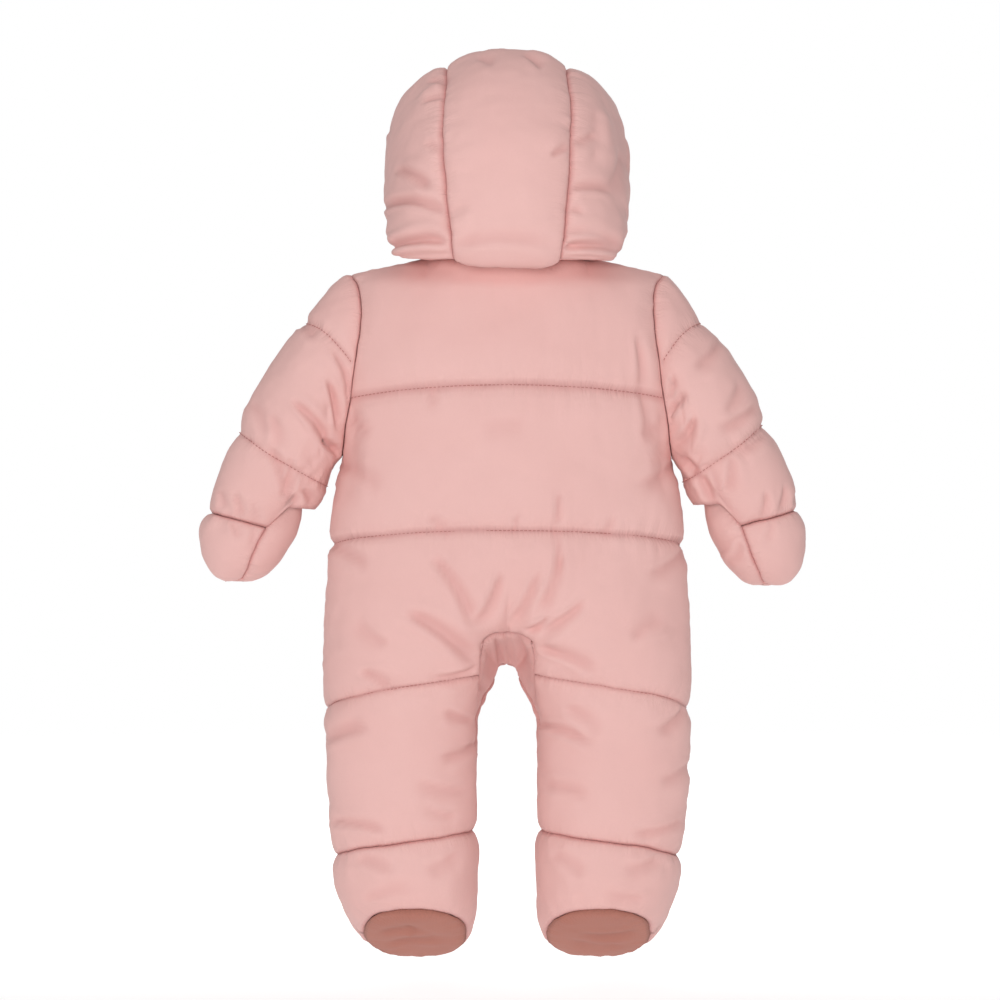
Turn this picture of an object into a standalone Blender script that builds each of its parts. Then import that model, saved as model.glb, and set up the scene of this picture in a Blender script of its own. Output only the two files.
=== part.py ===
"""A baby's padded snowsuit, hollow and filled out as if it were worn.

The suit is cut from quilted cloth: a back in one piece, two fronts that meet at a
zip, a crotch gusset, sleeves with fold-over mittens, boots with soles, and a hood
of three panels.  Every piece is a wall that is thick where its filling is and thin
at its seams.  Z is up, the front faces -Y, and +X is the wearer's left.  The origin
is in the middle of the neck, level with the tips of the shoulders.
"""
import math

import bpy
import numpy as np
from mathutils import Matrix, Vector

MM = 0.001

# Cloth walls
SEAM_GAP = 0.3          # between two pieces that are sewn together
SEAM_EDGE = 0.6         # from a seam's middle to the face of its cloth, which leans in to SEAM_GAP
SEAM_WALL = 2.0         # cloth thickness where the filling is sewn flat
PUFF_WALL = 6.0         # cloth and filling in the middle of a channel
PUFF = 6.5              # how far a filled channel stands out from its seams
CENTRE_SEAM = 0.4       # half the space between the fronts, where the crotch curves under
PUFF_REACH = 24.0       # distance from a seam at which the filling is full

# Neck and shoulders
NECK_HALF_WIDTH = 62.0
NECK_SIDE_HEIGHT = 14.0
NECK_BACK = (52.0, 6.0)          # depth and height at the centre back
NECK_FRONT = (54.0, -14.0)       # depth and height at the centre front
SHOULDER_X = 128.0
YOKE_HEIGHT = -45.0              # where the shoulder's curve runs into the body

# Armhole: an oval in the side of the body
ARMHOLE_MIDDLE = -75.0
ARMHOLE_HALF_HEIGHT = 75.0
ARMHOLE_HALF_DEPTH = 36.0
ARMHOLE_EASE = 1.2               # the sleeve's seam stands out this far over and under the arm

# Zip
ZIP_HALF_WIDTH = 5.0
ZIP_TOP = -17.0
ZIP_FOOT = -288.0
ZIP_TAPE = 1.4
SLIDER_HEIGHT = -30.0            # height of the pull tab's hinge
SLIDER_SIZE = (8.0, 2.6, 11.0)
BAIL_SIZE = (2.4, 3.4, 8.6)
BAIL_BAR = 1.0
TAB_SIZE = (6.4, 1.2, 24.0)
TAB_HOLE = (3.8, 5.6)
TAB_PIN = 1.2                    # height of the bar that hangs in the bail


def table(names, rows):
    """Name the columns of a table of numbers."""
    return dict(zip(names.split(), np.array(rows, float).T))


# The body's side edge and depths by height, before the filling stands out.
BODY = table("height side_x depth_back depth_front", (
    (0, SHOULDER_X, 40, 40),
    (-12, 120.5, 48, 47),
    (-30, 118, 53, 53),
    (-50, 119, 56, 54),
    (-68, 122, 57, 54),
    (-90, 125, 58, 54),
    (-120, 130, 59, 55),
    (-150, 135, 60, 56),
    (-194, 139, 61, 58),
    (-223, 141, 62, 59),
    (-282, 144, 61, 57),
    (-340, 145, 54, 50),
    (-403, 143, 48, 47),
    (-440, 141, 46, 46),
    (-480, 137, 45, 46),
))

# The middle of each panel's oval section: the body's own middle across the seat,
# moving out to the middle of a leg below it.
LEG_MIDDLE = table("height back front", (
    (-205, 0, 0), (-240, 26, 14), (-265, 50, 31), (-290, 67, 50), (-304, 74, 58),
    (-325, 80, 69.5), (-345, 84, 80), (-363, 86.7, 85), (-400, 86.3, 86.3),
    (-440, 85.3, 85.3), (-480, 83.2, 83.2),
))
OVAL_POWER = 0.75       # flattens the ovals' faces and squares their sides
NOTCH_REACH = 5         # how quickly the notch stops drawing the columns aside

# The crotch notch in each panel: a small arch that widens into the inner legs.
NOTCH_BACK = dict(top=-290.0, round_height=13.0, half_width=22.0)
NOTCH_FRONT = dict(top=-321.0, round_height=7.0, half_width=9.0)
INNER_BACK = table("height x", ((-303, 22), (-325, 23), (-345, 26.5), (-363, 30), (-480, 29.5)))
INNER_FRONT = table("height x", (
    (-328, 9), (-336, 13), (-346, 20), (-359, 26), (-371, 29.5), (-480, 29.5),
))

# Rows of the body panels from the yoke down: height at the side, at the back's
# middle or inner leg, and at the front's.  kind 1 is a line of quilting.
BODY_ROWS = table("side back front kind", (
    (-45, -45, -45, 0),
    (-92, -83, -83, 0),
    (-102, -92, -92, 1),
    (-112, -101, -101, 0),
    (-130, -121, -121, 0),
    (-144, -135, -135, 0),
    (-150, -141, -141, 0),
    (-180, -170, -170, 0),
    (-212, -200, -200, 0),
    (-222, -209, -209, 1),
    (-233, -219, -220, 0),
    (-255, -240, -244, 0),
    (-280, -264, -270, 0),
    (-302, -282, -288, 0),
    (-314, -290, -300, 0),
    (-322, -296, -312, 0),
    (-331, -304, -321, 0),
    (-344, -315, -325, 0),
    (-356, -326, -331, 1),
    (-367, -337, -341, 0),
    (-382, -353, -356, 0),
    (-400, -373, -374, 0),
    (-430, -404, -405, 0),
    (-458, -436, -436, 0),
    (-469, -448, -448, 0),
    (-476, -455, -455, 0),
))
YOKE_STEPS = 4          # rows between the shoulder seam and the yoke
BODY_COLUMNS = 8        # columns from the side to the middle

# Each sleeve from the armhole to the mitten seam: the outer and the inner edge of
# its sections, and their half depth.
ARM_NAMES = "along outer_x outer_z inner_x inner_z depth"
SLEEVE = {
    "left": table(ARM_NAMES, (
        (0.00, 128, 0, 135.6, -150.4, 36),
        (0.12, 147, -20, 141.5, -157, 41),
        (0.24, 163, -41, 143, -160, 43),
        (0.36, 179, -62, 144, -162, 43),
        (0.48, 196, -88, 145, -165, 41),
        (0.60, 210, -112, 146, -168, 39),
        (0.68, 217, -130, 147, -171, 36),
        (0.78, 226, -152, 149, -177, 35),
        (0.88, 235, -175, 151, -184, 32),
        (1.00, 242, -195, 176, -213, 26),
    )),
    "right": table(ARM_NAMES, (
        (0.00, 128, 0, 135.6, -150.4, 36),
        (0.12, 142, -22, 141.5, -157, 41),
        (0.24, 157, -41, 142.5, -159, 43),
        (0.36, 173, -61, 143, -161, 43),
        (0.48, 189, -84, 143.5, -163, 41),
        (0.60, 202, -108, 144, -165, 39),
        (0.68, 207, -124, 144.5, -168, 36),
        (0.78, 219, -147, 145, -173, 35),
        (0.88, 230, -172, 147, -180, 32),
        (1.00, 235, -193, 170, -211, 26),
    )),
}
MITTEN = {
    "left": table(ARM_NAMES, (
        (-0.40, 216, -174, 170, -180, 16),
        (-0.12, 228, -187, 172, -198, 20),
        (0.00, 242, -195, 176, -213, 26),
        (0.30, 247, -211, 183, -224, 27),
        (0.55, 246, -225, 190, -233, 25),
        (0.78, 242, -237, 197, -240, 19),
        (0.93, 237, -244.5, 204, -245, 11),
        (1.00, 232, -248, 210, -248, 5),
    )),
    "right": table(ARM_NAMES, (
        (-0.40, 210, -174, 164, -179, 16),
        (-0.12, 221, -186, 166, -197, 20),
        (0.00, 235, -193, 170, -211, 26),
        (0.30, 239, -211, 176, -223, 27),
        (0.55, 239, -226, 182, -234, 25),
        (0.78, 236, -239, 190, -242, 19),
        (0.93, 231, -247.5, 197, -248, 11),
        (1.00, 226, -251, 203, -251, 5),
    )),
}
SLEEVE_HEM = 0.88                     # the palm side stops here, above the mitten
SLEEVE_HIGH_QUILT = 0.24              # along, at the outer edge; it ends at the armhole seam
SLEEVE_LOW_QUILT = (0.68, 0.72)       # along, at the outer and the inner edge
SIDE_SEAMS = (-26.0, 108.0)           # angles round the arm: back of the hand between
TIP_ROUND = 2.0                       # how far the tip's seam hangs below the last section
SLEEVE_STATIONS = (0, 0.08, 0.17, 0.27, 0.38, 0.5, 0.61, 0.70, 0.79, 0.9, 1)
SLEEVE_ANGLES = (-26, -8, 14, 36, 60, 84, 108, 126, 144, 162, 180, 198, 216, 236, 256, 276, 296, 316)

# The boots: sections from the ankle seam to the sole.
BOOT = table("along centre_x centre_y centre_z half_width half_length tilt", (
    (0.00, 83.3, 0, -466, 53.8, 46, 2),
    (0.18, 83.5, -2, -481, 55.0, 49, 6),
    (0.38, 83.0, -5, -497, 53.5, 54, 11),
    (0.58, 81.0, -8, -512, 51.0, 58, 17),
    (0.78, 78.5, -11, -526, 48.0, 62, 22),
    (0.92, 76.5, -12, -535, 45.0, 63, 24),
    (1.00, 75.5, -12, -541, 42.5, 62, 25),
))
BOOT_STATIONS = (0, 0.07, 0.2, 0.38, 0.58, 0.78, 0.92, 1)
BOOT_COLUMNS = 16
SOLE_WALL = 3.5
SOLE_CELLS = 6

# The hood: its centre line from the brow over the crown to the nape, and the free
# edge that the side panel reaches, down the face and back round the neck.
HOOD = table("along crown_y crown_z seam_x edge_x edge_y edge_z sweep", (
    (0.00, -74, 152, 45, 51, -75, 149, 60),
    (0.10, -48, 168, 46, 67, -78, 130, 95),
    (0.20, -16, 178, 47, 71.7, -79, 104, 122),
    (0.31, 22, 176, 48, 71, -77, 78, 129),
    (0.42, 56, 158, 49, 68.7, -73, 52, 133),
    (0.53, 79, 128, 51, 57, -68, 26, 143),
    (0.64, 90, 92, 50, 31.8, -58, 4, 160),
    (0.76, 91, 52, 47, 60, -14, 13.3, 138.8),
    (0.86, 88, 21, 44, 61, 10, 15, 136.7),
    (0.93, 78, 7, 42, 57, 22, 13.6, 137.2),
    (1.00, 53, 6.6, 38, 42, 38.5, 10.5, 90),
))
HOOD_STATIONS = (0, 0.04, 0.12, 0.22, 0.32, 0.42, 0.52, 0.62, 0.71, 0.80, 0.87, 0.93, 0.97, 1)
HOOD_STRIP_COLUMNS = 8
HOOD_SIDE_COLUMNS = 8

# The gusset runs under the crotch and tapers to a point down each inner leg,
# where the back and the fronts come together again.
LEG_CLOSING = (-330.0, -404.0)
GUSSET_FOOT = -398.0
GUSSET_ARCH_SHARE = 0.3
GUSSET_STEPS = (0, 0.1, 0.2, 0.3, 0.42, 0.55, 0.7, 0.85, 1)
GUSSET_CELLS = 4
GUSSET_INSET = (3.1, 3.4)        # from the back's edge and from the fronts'

PINK = (0.80, 0.46, 0.42, 1.0)
SOLE_PINK = (0.52, 0.27, 0.21, 1.0)
ZIP_PINK = (0.72, 0.36, 0.34, 1.0)
STEEL = (0.72, 0.70, 0.69, 1.0)


# ---------------------------------------------------------------- curves and grids
def curve(along, values, at):
    """Read a smooth curve through a table's column, with no overshoot between rows."""
    order = np.argsort(along)
    x = along[order]
    y = values[order]
    step = np.diff(x)
    slope = np.diff(y) / step
    rising = slope[1:] * slope[:-1] > 0
    total = np.where(rising, slope[1:] + slope[:-1], 1.0)
    tangent = np.zeros_like(y)
    tangent[0] = slope[0]
    tangent[-1] = slope[-1]
    tangent[1:-1] = np.where(rising, 2 * slope[1:] * slope[:-1] / total, 0.0)
    at = np.clip(np.asarray(at, float), x[0], x[-1])
    cell = np.clip(np.searchsorted(x, at, side="right") - 1, 0, len(step) - 1)
    u = (at - x[cell]) / step[cell]
    start = (2 * u**3 - 3 * u**2 + 1) * y[cell]
    end = (3 * u**2 - 2 * u**3) * y[cell + 1]
    leave = (u**3 - 2 * u**2 + u) * step[cell] * tangent[cell]
    arrive = (u**3 - u**2) * step[cell] * tangent[cell + 1]
    return start + end + leave + arrive


def stack(x, y, z):
    """Join three coordinate grids into one grid of points."""
    return np.stack(np.broadcast_arrays(x, y, z), axis=-1)


def signed_power(value, power):
    """Raise a cosine or sine to a power and keep its sign."""
    return np.sign(value) * np.abs(value) ** power


def grid_normals(points, ring=False):
    """Unit normals of a grid of points; a ring's last column is next to its first."""
    if ring:
        around = np.roll(points, -1, axis=1) - np.roll(points, 1, axis=1)
    else:
        around = np.gradient(points, axis=1)
    normals = np.cross(np.gradient(points, axis=0), around)
    return normals / np.maximum(np.linalg.norm(normals, axis=-1, keepdims=True), 1e-9)


def polyline(points, splits=4):
    """Points along a line, close enough together to measure distances from."""
    points = np.asarray(points)
    shares = np.linspace(0, 1, splits, endpoint=False)[:, None, None]
    between = points[None, :-1] + shares * (points[None, 1:] - points[None, :-1])
    return np.vstack([between.reshape(-1, 3), points[-1:]])


def fullness(points, seams):
    """How full the padding is at each point: 0 on a seam, 1 beyond PUFF_REACH."""
    lines = np.vstack([polyline(seam) for seam in seams])
    flat = points.reshape(-1, 3)
    distance = np.min(np.linalg.norm(flat[:, None] - lines[None], axis=-1), axis=1)
    near = np.clip(distance / PUFF_REACH, 0, 1)
    return np.sqrt(1 - (1 - near) ** 2).reshape(points.shape[:2])


# ---------------------------------------------------------------- objects
def material(name, colour, roughness, metallic=0.0):
    """A plain finish for one piece."""
    finish = bpy.data.materials.new(name)
    finish.use_nodes = True
    shader = finish.node_tree.nodes["Principled BSDF"]
    shader.inputs["Base Color"].default_value = colour
    shader.inputs["Roughness"].default_value = roughness
    shader.inputs["Metallic"].default_value = metallic
    finish.diffuse_color = colour
    return finish


def cloth_piece(name, points, outside, seams=(), ring=False, mirror=False,
                colour=PINK, puff=PUFF, wall=PUFF_WALL, relief=None):
    """One cut piece: a grid of points in millimetres, puffed between its seams.

    outside is +1 or -1 for the side of the grid that faces out, and relief
    lowers the puff where the piece lies close against its neighbour.
    """
    normals = grid_normals(points, ring) * outside
    full = fullness(points, seams) if seams else np.zeros(points.shape[:2])
    if relief is not None:
        full = full * relief(points, normals)
    on_plane = np.abs(points[..., 0]) < 0.01
    points = points + normals * (puff * full)[..., None]
    if mirror:
        points[..., 0][on_plane] = 0.0
    rows, columns = points.shape[:2]
    across = columns if ring else columns - 1
    faces = []
    for row in range(rows - 1):
        for column in range(across):
            following = (column + 1) % columns
            face = (row * columns + column, row * columns + following,
                    (row + 1) * columns + following, (row + 1) * columns + column)
            faces.append(face if outside < 0 else face[::-1])
    mesh = bpy.data.meshes.new(name)
    mesh.from_pydata((points.reshape(-1, 3) * MM).tolist(), [], faces)
    mesh.shade_smooth()
    piece = bpy.data.objects.new(name, mesh)
    suit.objects.link(piece)
    mesh.materials.append(material(name + "_cloth", colour, 0.85))
    group = piece.vertex_groups.new(name="filling")
    for index, weight in enumerate(full.reshape(-1)):
        group.add([index], float(weight), "REPLACE")
    if mirror:
        halves = piece.modifiers.new("other half", "MIRROR")
        halves.merge_threshold = 0.00005
    shell = piece.modifiers.new("cloth and filling", "SOLIDIFY")
    shell.thickness = wall * MM
    shell.offset = -1
    shell.vertex_group = "filling"
    shell.thickness_vertex_group = SEAM_WALL / wall
    return piece


# ---------------------------------------------------------------- body
def armhole(height, face):
    """A point of the armhole seam at a height, on the back (1) or the front (-1)."""
    reach = np.clip((height - ARMHOLE_MIDDLE) / ARMHOLE_HALF_HEIGHT, -1, 1)
    depth = ARMHOLE_HALF_DEPTH * np.sqrt(1 - reach**2)
    return stack(curve(BODY["height"], BODY["side_x"], height), face * depth, height)


def inner_edge(height, face):
    """Half width of the space between the two halves of a panel at a height."""
    notch = NOTCH_BACK if face > 0 else NOTCH_FRONT
    legs = INNER_BACK if face > 0 else INNER_FRONT
    drop = np.clip((notch["top"] - height) / notch["round_height"], 0, 1)
    arch = notch["half_width"] * np.sqrt(1 - (1 - drop) ** 2)
    edge = np.where(drop < 1, arch, curve(legs["height"], legs["x"], height))
    if face > 0:
        return edge
    closing = np.clip((height - ZIP_FOOT + 10) / 10, 0, 1)
    middle = CENTRE_SEAM + (ZIP_HALF_WIDTH + SEAM_GAP - CENTRE_SEAM) * closing
    return np.maximum(edge, middle)


def body_section(height, share, face):
    """A point of the body: share runs from the side edge to the middle or inner leg."""
    depth = curve(BODY["height"], BODY["depth_back" if face > 0 else "depth_front"], height)
    side = curve(BODY["height"], BODY["side_x"], height)
    middle = curve(LEG_MIDDLE["height"], LEG_MIDDLE["back" if face > 0 else "front"], height)
    legs = INNER_BACK if face > 0 else INNER_FRONT
    inner = inner_edge(height, face)
    opening = armhole(height, 1)[..., 1]
    start = np.arcsin(np.clip((opening / depth) ** (1 / OVAL_POWER), 0, 1))
    half = (side - middle) / np.cos(start)
    low = np.clip((height - legs["height"][0]) / (legs["height"][-1] - legs["height"][0]) * 4, 0, 1)
    even = curve(legs["height"], legs["x"], height) * low
    whole = np.arccos(np.clip((even - middle) / half, -1, 1))
    end = np.arccos(np.clip((inner - middle) / half, -1, 1))
    closed = np.clip((LEG_CLOSING[0] - height) / (LEG_CLOSING[0] - LEG_CLOSING[1]), 0, 1)
    end = end + (math.pi - end) * closed
    angle = start + (whole - start) * share + (end - whole) * share**NOTCH_REACH
    x = middle + half * np.cos(angle)
    y = depth * np.clip(np.sin(angle), 0, 1) ** OVAL_POWER
    x = np.where(share >= 1, inner, x)
    return stack(x, face * np.maximum(y, SEAM_EDGE), height)


def collar_edge(share, face):
    """The shoulder seam, then the neck edge, from the shoulder's tip to the middle."""
    depth, middle_height = NECK_BACK if face > 0 else NECK_FRONT
    inner = 0.0 if face > 0 else ZIP_HALF_WIDTH + SEAM_GAP
    slope = np.clip(share / 0.5, 0, 1)
    turn = np.clip((share - 0.5) / 0.5, 0, 1) * math.pi / 2
    neck_x = inner + (NECK_HALF_WIDTH - inner) * np.cos(turn)
    neck_z = NECK_SIDE_HEIGHT + (middle_height - NECK_SIDE_HEIGHT) * np.sin(turn) ** 2
    x = np.where(share < 0.5, SHOULDER_X + (NECK_HALF_WIDTH - SHOULDER_X) * slope, neck_x)
    z = np.where(share < 0.5, NECK_SIDE_HEIGHT * slope, neck_z)
    y = np.maximum(depth * np.sin(turn), SEAM_EDGE)
    return stack(x, face * y, z)


def body_grid(face):
    """Half of the back or a front, from the shoulder seam down to the ankle seam."""
    share = np.linspace(0, 1, BODY_COLUMNS + 1)
    collar = collar_edge(share, face)
    yoke = body_section(np.full_like(share, YOKE_HEIGHT), share, face)
    bend = stack((collar[:, 0] + yoke[:, 0]) / 2, yoke[:, 1], collar[:, 2])
    rows = []
    for step in range(YOKE_STEPS):
        t = step / YOKE_STEPS
        row = (1 - t) ** 2 * collar + 2 * t * (1 - t) * bend + t**2 * yoke
        seam = armhole(row[0, 2], face)
        seam[1] = face * max(abs(seam[1]), SEAM_EDGE)
        row = row + (1 - share[:, None]) ** 4 * (seam - row[0])
        rows.append(row)
    middle = BODY_ROWS["back" if face > 0 else "front"]
    for side_height, middle_height in zip(BODY_ROWS["side"], middle):
        height = side_height + (middle_height - side_height) * np.sin(share * math.pi / 2)
        rows.append(body_section(height, share, face))
    return np.array(rows)


def body_seams(grid, face):
    """The sewn edges and quilting lines of a body panel's grid."""
    first_leg_row = YOKE_STEPS + int(np.argmax(BODY_ROWS["back"] <= NOTCH_BACK["top"]))
    centre = grid[:, -1] if face < 0 else grid[first_leg_row:, -1]
    lines = [grid[0], grid[-1], grid[:, 0], centre]
    for index, kind in enumerate(BODY_ROWS["kind"]):
        if kind:
            lines.append(grid[YOKE_STEPS + index])
    return lines


def clear_of_sleeves(points, normals):
    """The filling thins under the hood and beside the lower armhole."""
    under_hood = np.clip((points[..., 2] + 12) / 12, 0, 1) * 0.75
    side = np.clip((np.abs(points[..., 0]) - 112) / 12, 0, 1)
    beside_sleeve = side * np.clip(1.4 - np.abs(points[..., 2] + 135) / 40, 0, 1)
    return 1 - np.maximum(under_hood, beside_sleeve)


def make_body():
    """The back in one piece, and the two fronts."""
    grid = body_grid(1)
    cloth_piece("back", grid, outside=1, seams=body_seams(grid, 1), mirror=True,
                relief=clear_of_sleeves)
    grid = body_grid(-1)
    seams = body_seams(grid, -1)
    cloth_piece("front_left", grid, outside=-1, seams=seams, relief=clear_of_sleeves)
    flip = np.array((-1, 1, 1))
    cloth_piece("front_right", grid * flip, outside=1, seams=[line * flip for line in seams],
                relief=clear_of_sleeves)


def make_gusset():
    """The crotch gusset, between the back's arch and the fronts' lower arch."""
    edges = []
    for face, notch in ((1, NOTCH_BACK), (-1, NOTCH_FRONT)):
        arch_foot = notch["top"] - notch["round_height"]
        panel_edge = body_grid(face)[::-1, -1]
        line = []
        for step in GUSSET_STEPS:
            if step < GUSSET_ARCH_SHARE:
                turn = step / GUSSET_ARCH_SHARE * math.pi / 2
                height = notch["top"] - notch["round_height"] * (1 - math.cos(turn))
            else:
                share = (step - GUSSET_ARCH_SHARE) / (1 - GUSSET_ARCH_SHARE)
                height = arch_foot + (GUSSET_FOOT - arch_foot) * share
            point = body_section(np.array(height), np.array(1.0), face)
            if step >= GUSSET_ARCH_SHARE:
                for axis in (0, 1):
                    point[axis] = np.interp(height, panel_edge[:, 2], panel_edge[:, axis])
            line.append(point)
        half = np.array(line)
        half[0, 0] = 0.0
        edges.append(np.vstack([half[:0:-1] * (-1, 1, 1), half]))
    back, front = edges
    length = np.linalg.norm(front - back, axis=-1, keepdims=True)
    direction = (front - back) / length
    back = back + direction * np.minimum(GUSSET_INSET[0], 0.3 * length)
    front = front - direction * np.minimum(GUSSET_INSET[1], 0.3 * length)
    share = np.linspace(0, 1, GUSSET_CELLS + 1)[None, :, None]
    grid = back[:, None] + (front - back)[:, None] * share
    seams = [grid[:, 0], grid[:, -1]]
    cloth_piece("gusset", grid, outside=1, seams=seams, puff=3.0, wall=3.0)


# ---------------------------------------------------------------- arms
def arm_ring(rows, along, angle, side):
    """A point of a sleeve or mitten: angle 0 is its outer edge and 90 its back."""
    outer_x = curve(rows["along"], rows["outer_x"], along)
    outer_z = curve(rows["along"], rows["outer_z"], along)
    inner_x = curve(rows["along"], rows["inner_x"], along)
    inner_z = curve(rows["along"], rows["inner_z"], along)
    depth = curve(rows["along"], rows["depth"], along)
    turn = np.radians(angle)
    width = signed_power(np.cos(turn), 0.85)
    x = (outer_x + inner_x) / 2 + (outer_x - inner_x) / 2 * width
    z = (outer_z + inner_z) / 2 + (outer_z - inner_z) / 2 * width
    return stack(side * x, depth * signed_power(np.sin(turn), 0.85), z)


def sleeve_point(name, along, angle, side):
    """A point of the sleeve, whose first ring lies on the armhole seam."""
    point = arm_ring(SLEEVE[name], along, angle, side)
    turn = np.radians(angle)
    height = ARMHOLE_MIDDLE + ARMHOLE_HALF_HEIGHT * np.cos(turn)
    seam = armhole(height, 1)
    lap = SEAM_GAP + ARMHOLE_EASE * np.abs(np.cos(turn))
    start = stack(side * (seam[..., 0] + lap), seam[..., 1] * np.sign(np.sin(turn)), height)
    first = arm_ring(SLEEVE[name], np.zeros_like(along), angle, side)
    return point + (start - first) * ((1 - along) ** 3)[..., None]


def clear_of_body(side):
    """The filling thins where the sleeve lies beside the body."""
    def relief(points, normals):
        facing = np.clip(-3 * side * normals[..., 0], 0, 1)
        low = np.clip((ARMHOLE_MIDDLE - points[..., 2]) / 20, 0, 1)
        return 1 - facing * low
    return relief


def make_sleeve(name, side):
    """A quilted sleeve; its palm side ends in an open hem above the mitten."""
    angle = np.array(SLEEVE_ANGLES, float)[None, :]
    back_of_hand = (angle >= SIDE_SEAMS[0]) & (angle <= SIDE_SEAMS[1])
    end = np.where(back_of_hand, 1.0, SLEEVE_HEM)
    along = np.array(SLEEVE_STATIONS)[:, None] * end
    grid = sleeve_point(name, along, np.broadcast_to(angle, along.shape), side)
    seams = [np.vstack([grid[0], grid[0, :1]])]
    outer, inner = SLEEVE_LOW_QUILT
    place = outer + (inner - outer) * (1 - np.cos(np.radians(angle[0]))) / 2
    line = sleeve_point(name, place, angle[0], side)
    seams.append(np.vstack([line, line[:1]]))
    over = np.linspace(-85, 85, 12)
    place = SLEEVE_HIGH_QUILT * np.cos(np.radians(over)) ** 0.8
    seams.append(sleeve_point(name, place, over, side))
    seams.append(grid[-1, :int(back_of_hand.sum())])
    cloth_piece("sleeve_" + name, grid, outside=side, seams=seams, ring=True,
                puff=5.0, wall=5.0, relief=clear_of_body(side))


def make_mitten(name, side):
    """The back of the hand, and the palm, whose top edge is tucked inside the sleeve."""
    low, high = SIDE_SEAMS
    gap = 0.6
    rows = np.array((0.022, 0.14, 0.34, 0.56, 0.76, 0.91, 1.0))[:, None]
    angle = np.linspace(low + gap, high - gap, 8)[None, :]
    grid = arm_ring(MITTEN[name], *np.broadcast_arrays(rows, angle), side)
    back = close_tip(grid)
    seams = [back[0], back[-1], back[:, 0], back[:, -1]]
    cloth_piece("mitt_back_" + name, back, outside=side, seams=seams, puff=4.0, wall=4.0)
    rows = np.array((-0.4, -0.12, 0.04, 0.2, 0.4, 0.6, 0.78, 0.91, 1.0))[:, None]
    angle = np.linspace(high + gap, low + 360 - gap, 10)[None, :]
    grid = arm_ring(MITTEN[name], *np.broadcast_arrays(rows, angle), side)
    palm = close_tip(grid)
    seams = [palm[-1], palm[:, 0], palm[:, -1]]
    cloth_piece("mitt_palm_" + name, palm, outside=side, seams=seams, puff=4.0, wall=4.0)


def close_tip(grid):
    """Add a last row along the straight seam that closes the tip of the hand."""
    first = grid[-1, 0]
    last = grid[-1, -1]
    share = np.linspace(0, 1, grid.shape[1])[:, None]
    outward = np.mean(grid[-1], axis=0) - (first + last) / 2
    outward[2] = 0
    outward = outward / np.linalg.norm(outward)
    seam = first + (last - first) * share + outward * SEAM_EDGE
    seam[:, 2] -= TIP_ROUND
    return np.concatenate([grid, seam[None]])


# ---------------------------------------------------------------- boots
def ankle_ring(angle):
    """The ankle seam, at an angle from the outer side round the back."""
    share = (1 - np.abs(1 - angle / 180.0 % 2))
    face = np.where(angle % 360 <= 180, 1.0, -1.0)
    side_height = BODY_ROWS["side"][-1]
    inner_height = BODY_ROWS["back"][-1]
    height = side_height + (inner_height - side_height) * np.sin(share * math.pi / 2)
    back = body_section(height, share, 1)
    front = body_section(height, share, -1)
    ring = np.where(face[..., None] > 0, back, front)
    ring[..., 2] -= 1.5 * SEAM_GAP
    return ring


def boot_ring(along, angle):
    """A point of a boot, from the ankle seam to the sole's edge."""
    row = {name: curve(BOOT["along"], BOOT[name], along) for name in BOOT}
    turn = np.radians(angle)
    across = signed_power(np.cos(turn), 0.85) * row["half_width"]
    forward = signed_power(np.sin(turn), 0.85) * row["half_length"]
    tilt = np.radians(row["tilt"])
    return stack(row["centre_x"] + across, row["centre_y"] + forward * np.cos(tilt),
                 row["centre_z"] + forward * np.sin(tilt))


def make_boot(name, side):
    """A padded bootee with a flat sole; its toe hangs lower than its heel."""
    flip = np.array((side, 1, 1))
    angle = (np.arange(BOOT_COLUMNS) * 360.0 / BOOT_COLUMNS)[None, :]
    along = np.array(BOOT_STATIONS)[:, None]
    along, angle = np.broadcast_arrays(along, angle)
    grid = boot_ring(along, angle)
    start = ankle_ring(angle[0])
    grid = grid + (start - grid[0])[None] * ((1 - along) ** 3)[..., None]
    seams = [np.vstack([grid[0], grid[0, :1]]) * flip, np.vstack([grid[-1], grid[-1, :1]]) * flip]
    cloth_piece("boot_" + name, grid * flip, outside=side, seams=seams, ring=True,
                puff=5.0, wall=5.0)

    cells = np.linspace(-1, 1, SOLE_CELLS + 1)
    u, v = np.meshgrid(cells, cells, indexing="ij")
    across = u * np.sqrt(1 - v**2 / 2)
    forward = v * np.sqrt(1 - u**2 / 2)
    reach = np.hypot(across, forward)
    angle = np.degrees(np.arctan2(forward, across)) % 360
    rim = boot_ring(np.ones_like(angle), angle)
    middle = np.array((BOOT["centre_x"][-1], BOOT["centre_y"][-1], BOOT["centre_z"][-1]))
    sole = middle + (rim - middle) * reach[..., None]
    tilt = math.radians(BOOT["tilt"][-1])
    down = np.array((0, math.sin(tilt), -math.cos(tilt)))
    sole = sole + down * (SOLE_WALL + SEAM_GAP)
    cloth_piece("sole_" + name, sole * flip, outside=-side, colour=SOLE_PINK,
                wall=SOLE_WALL).modifiers[0].thickness_vertex_group = 1.0


# ---------------------------------------------------------------- hood
def hood_point(along, share, panel):
    """A point of the hood: share 0 to 1 across the half strip or the side panel."""
    row = {name: curve(HOOD["along"], HOOD[name], along) for name in HOOD}
    sweep = np.radians(row["sweep"])
    widest = row["edge_x"] / np.sin(sweep)
    seam = np.arcsin(np.clip(row["seam_x"] / widest, -1, 1))
    seam = np.minimum(seam, sweep * 0.93)
    if panel == "strip":
        turn = seam * share
    else:
        turn = seam + (sweep - seam) * share
    forward = (1 - np.cos(turn)) / (1 - np.cos(sweep))
    y = row["crown_y"] + (row["edge_y"] - row["crown_y"]) * forward
    z = row["crown_z"] + (row["edge_z"] - row["crown_z"]) * forward
    return stack(widest * np.sin(turn), y, z)


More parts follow.
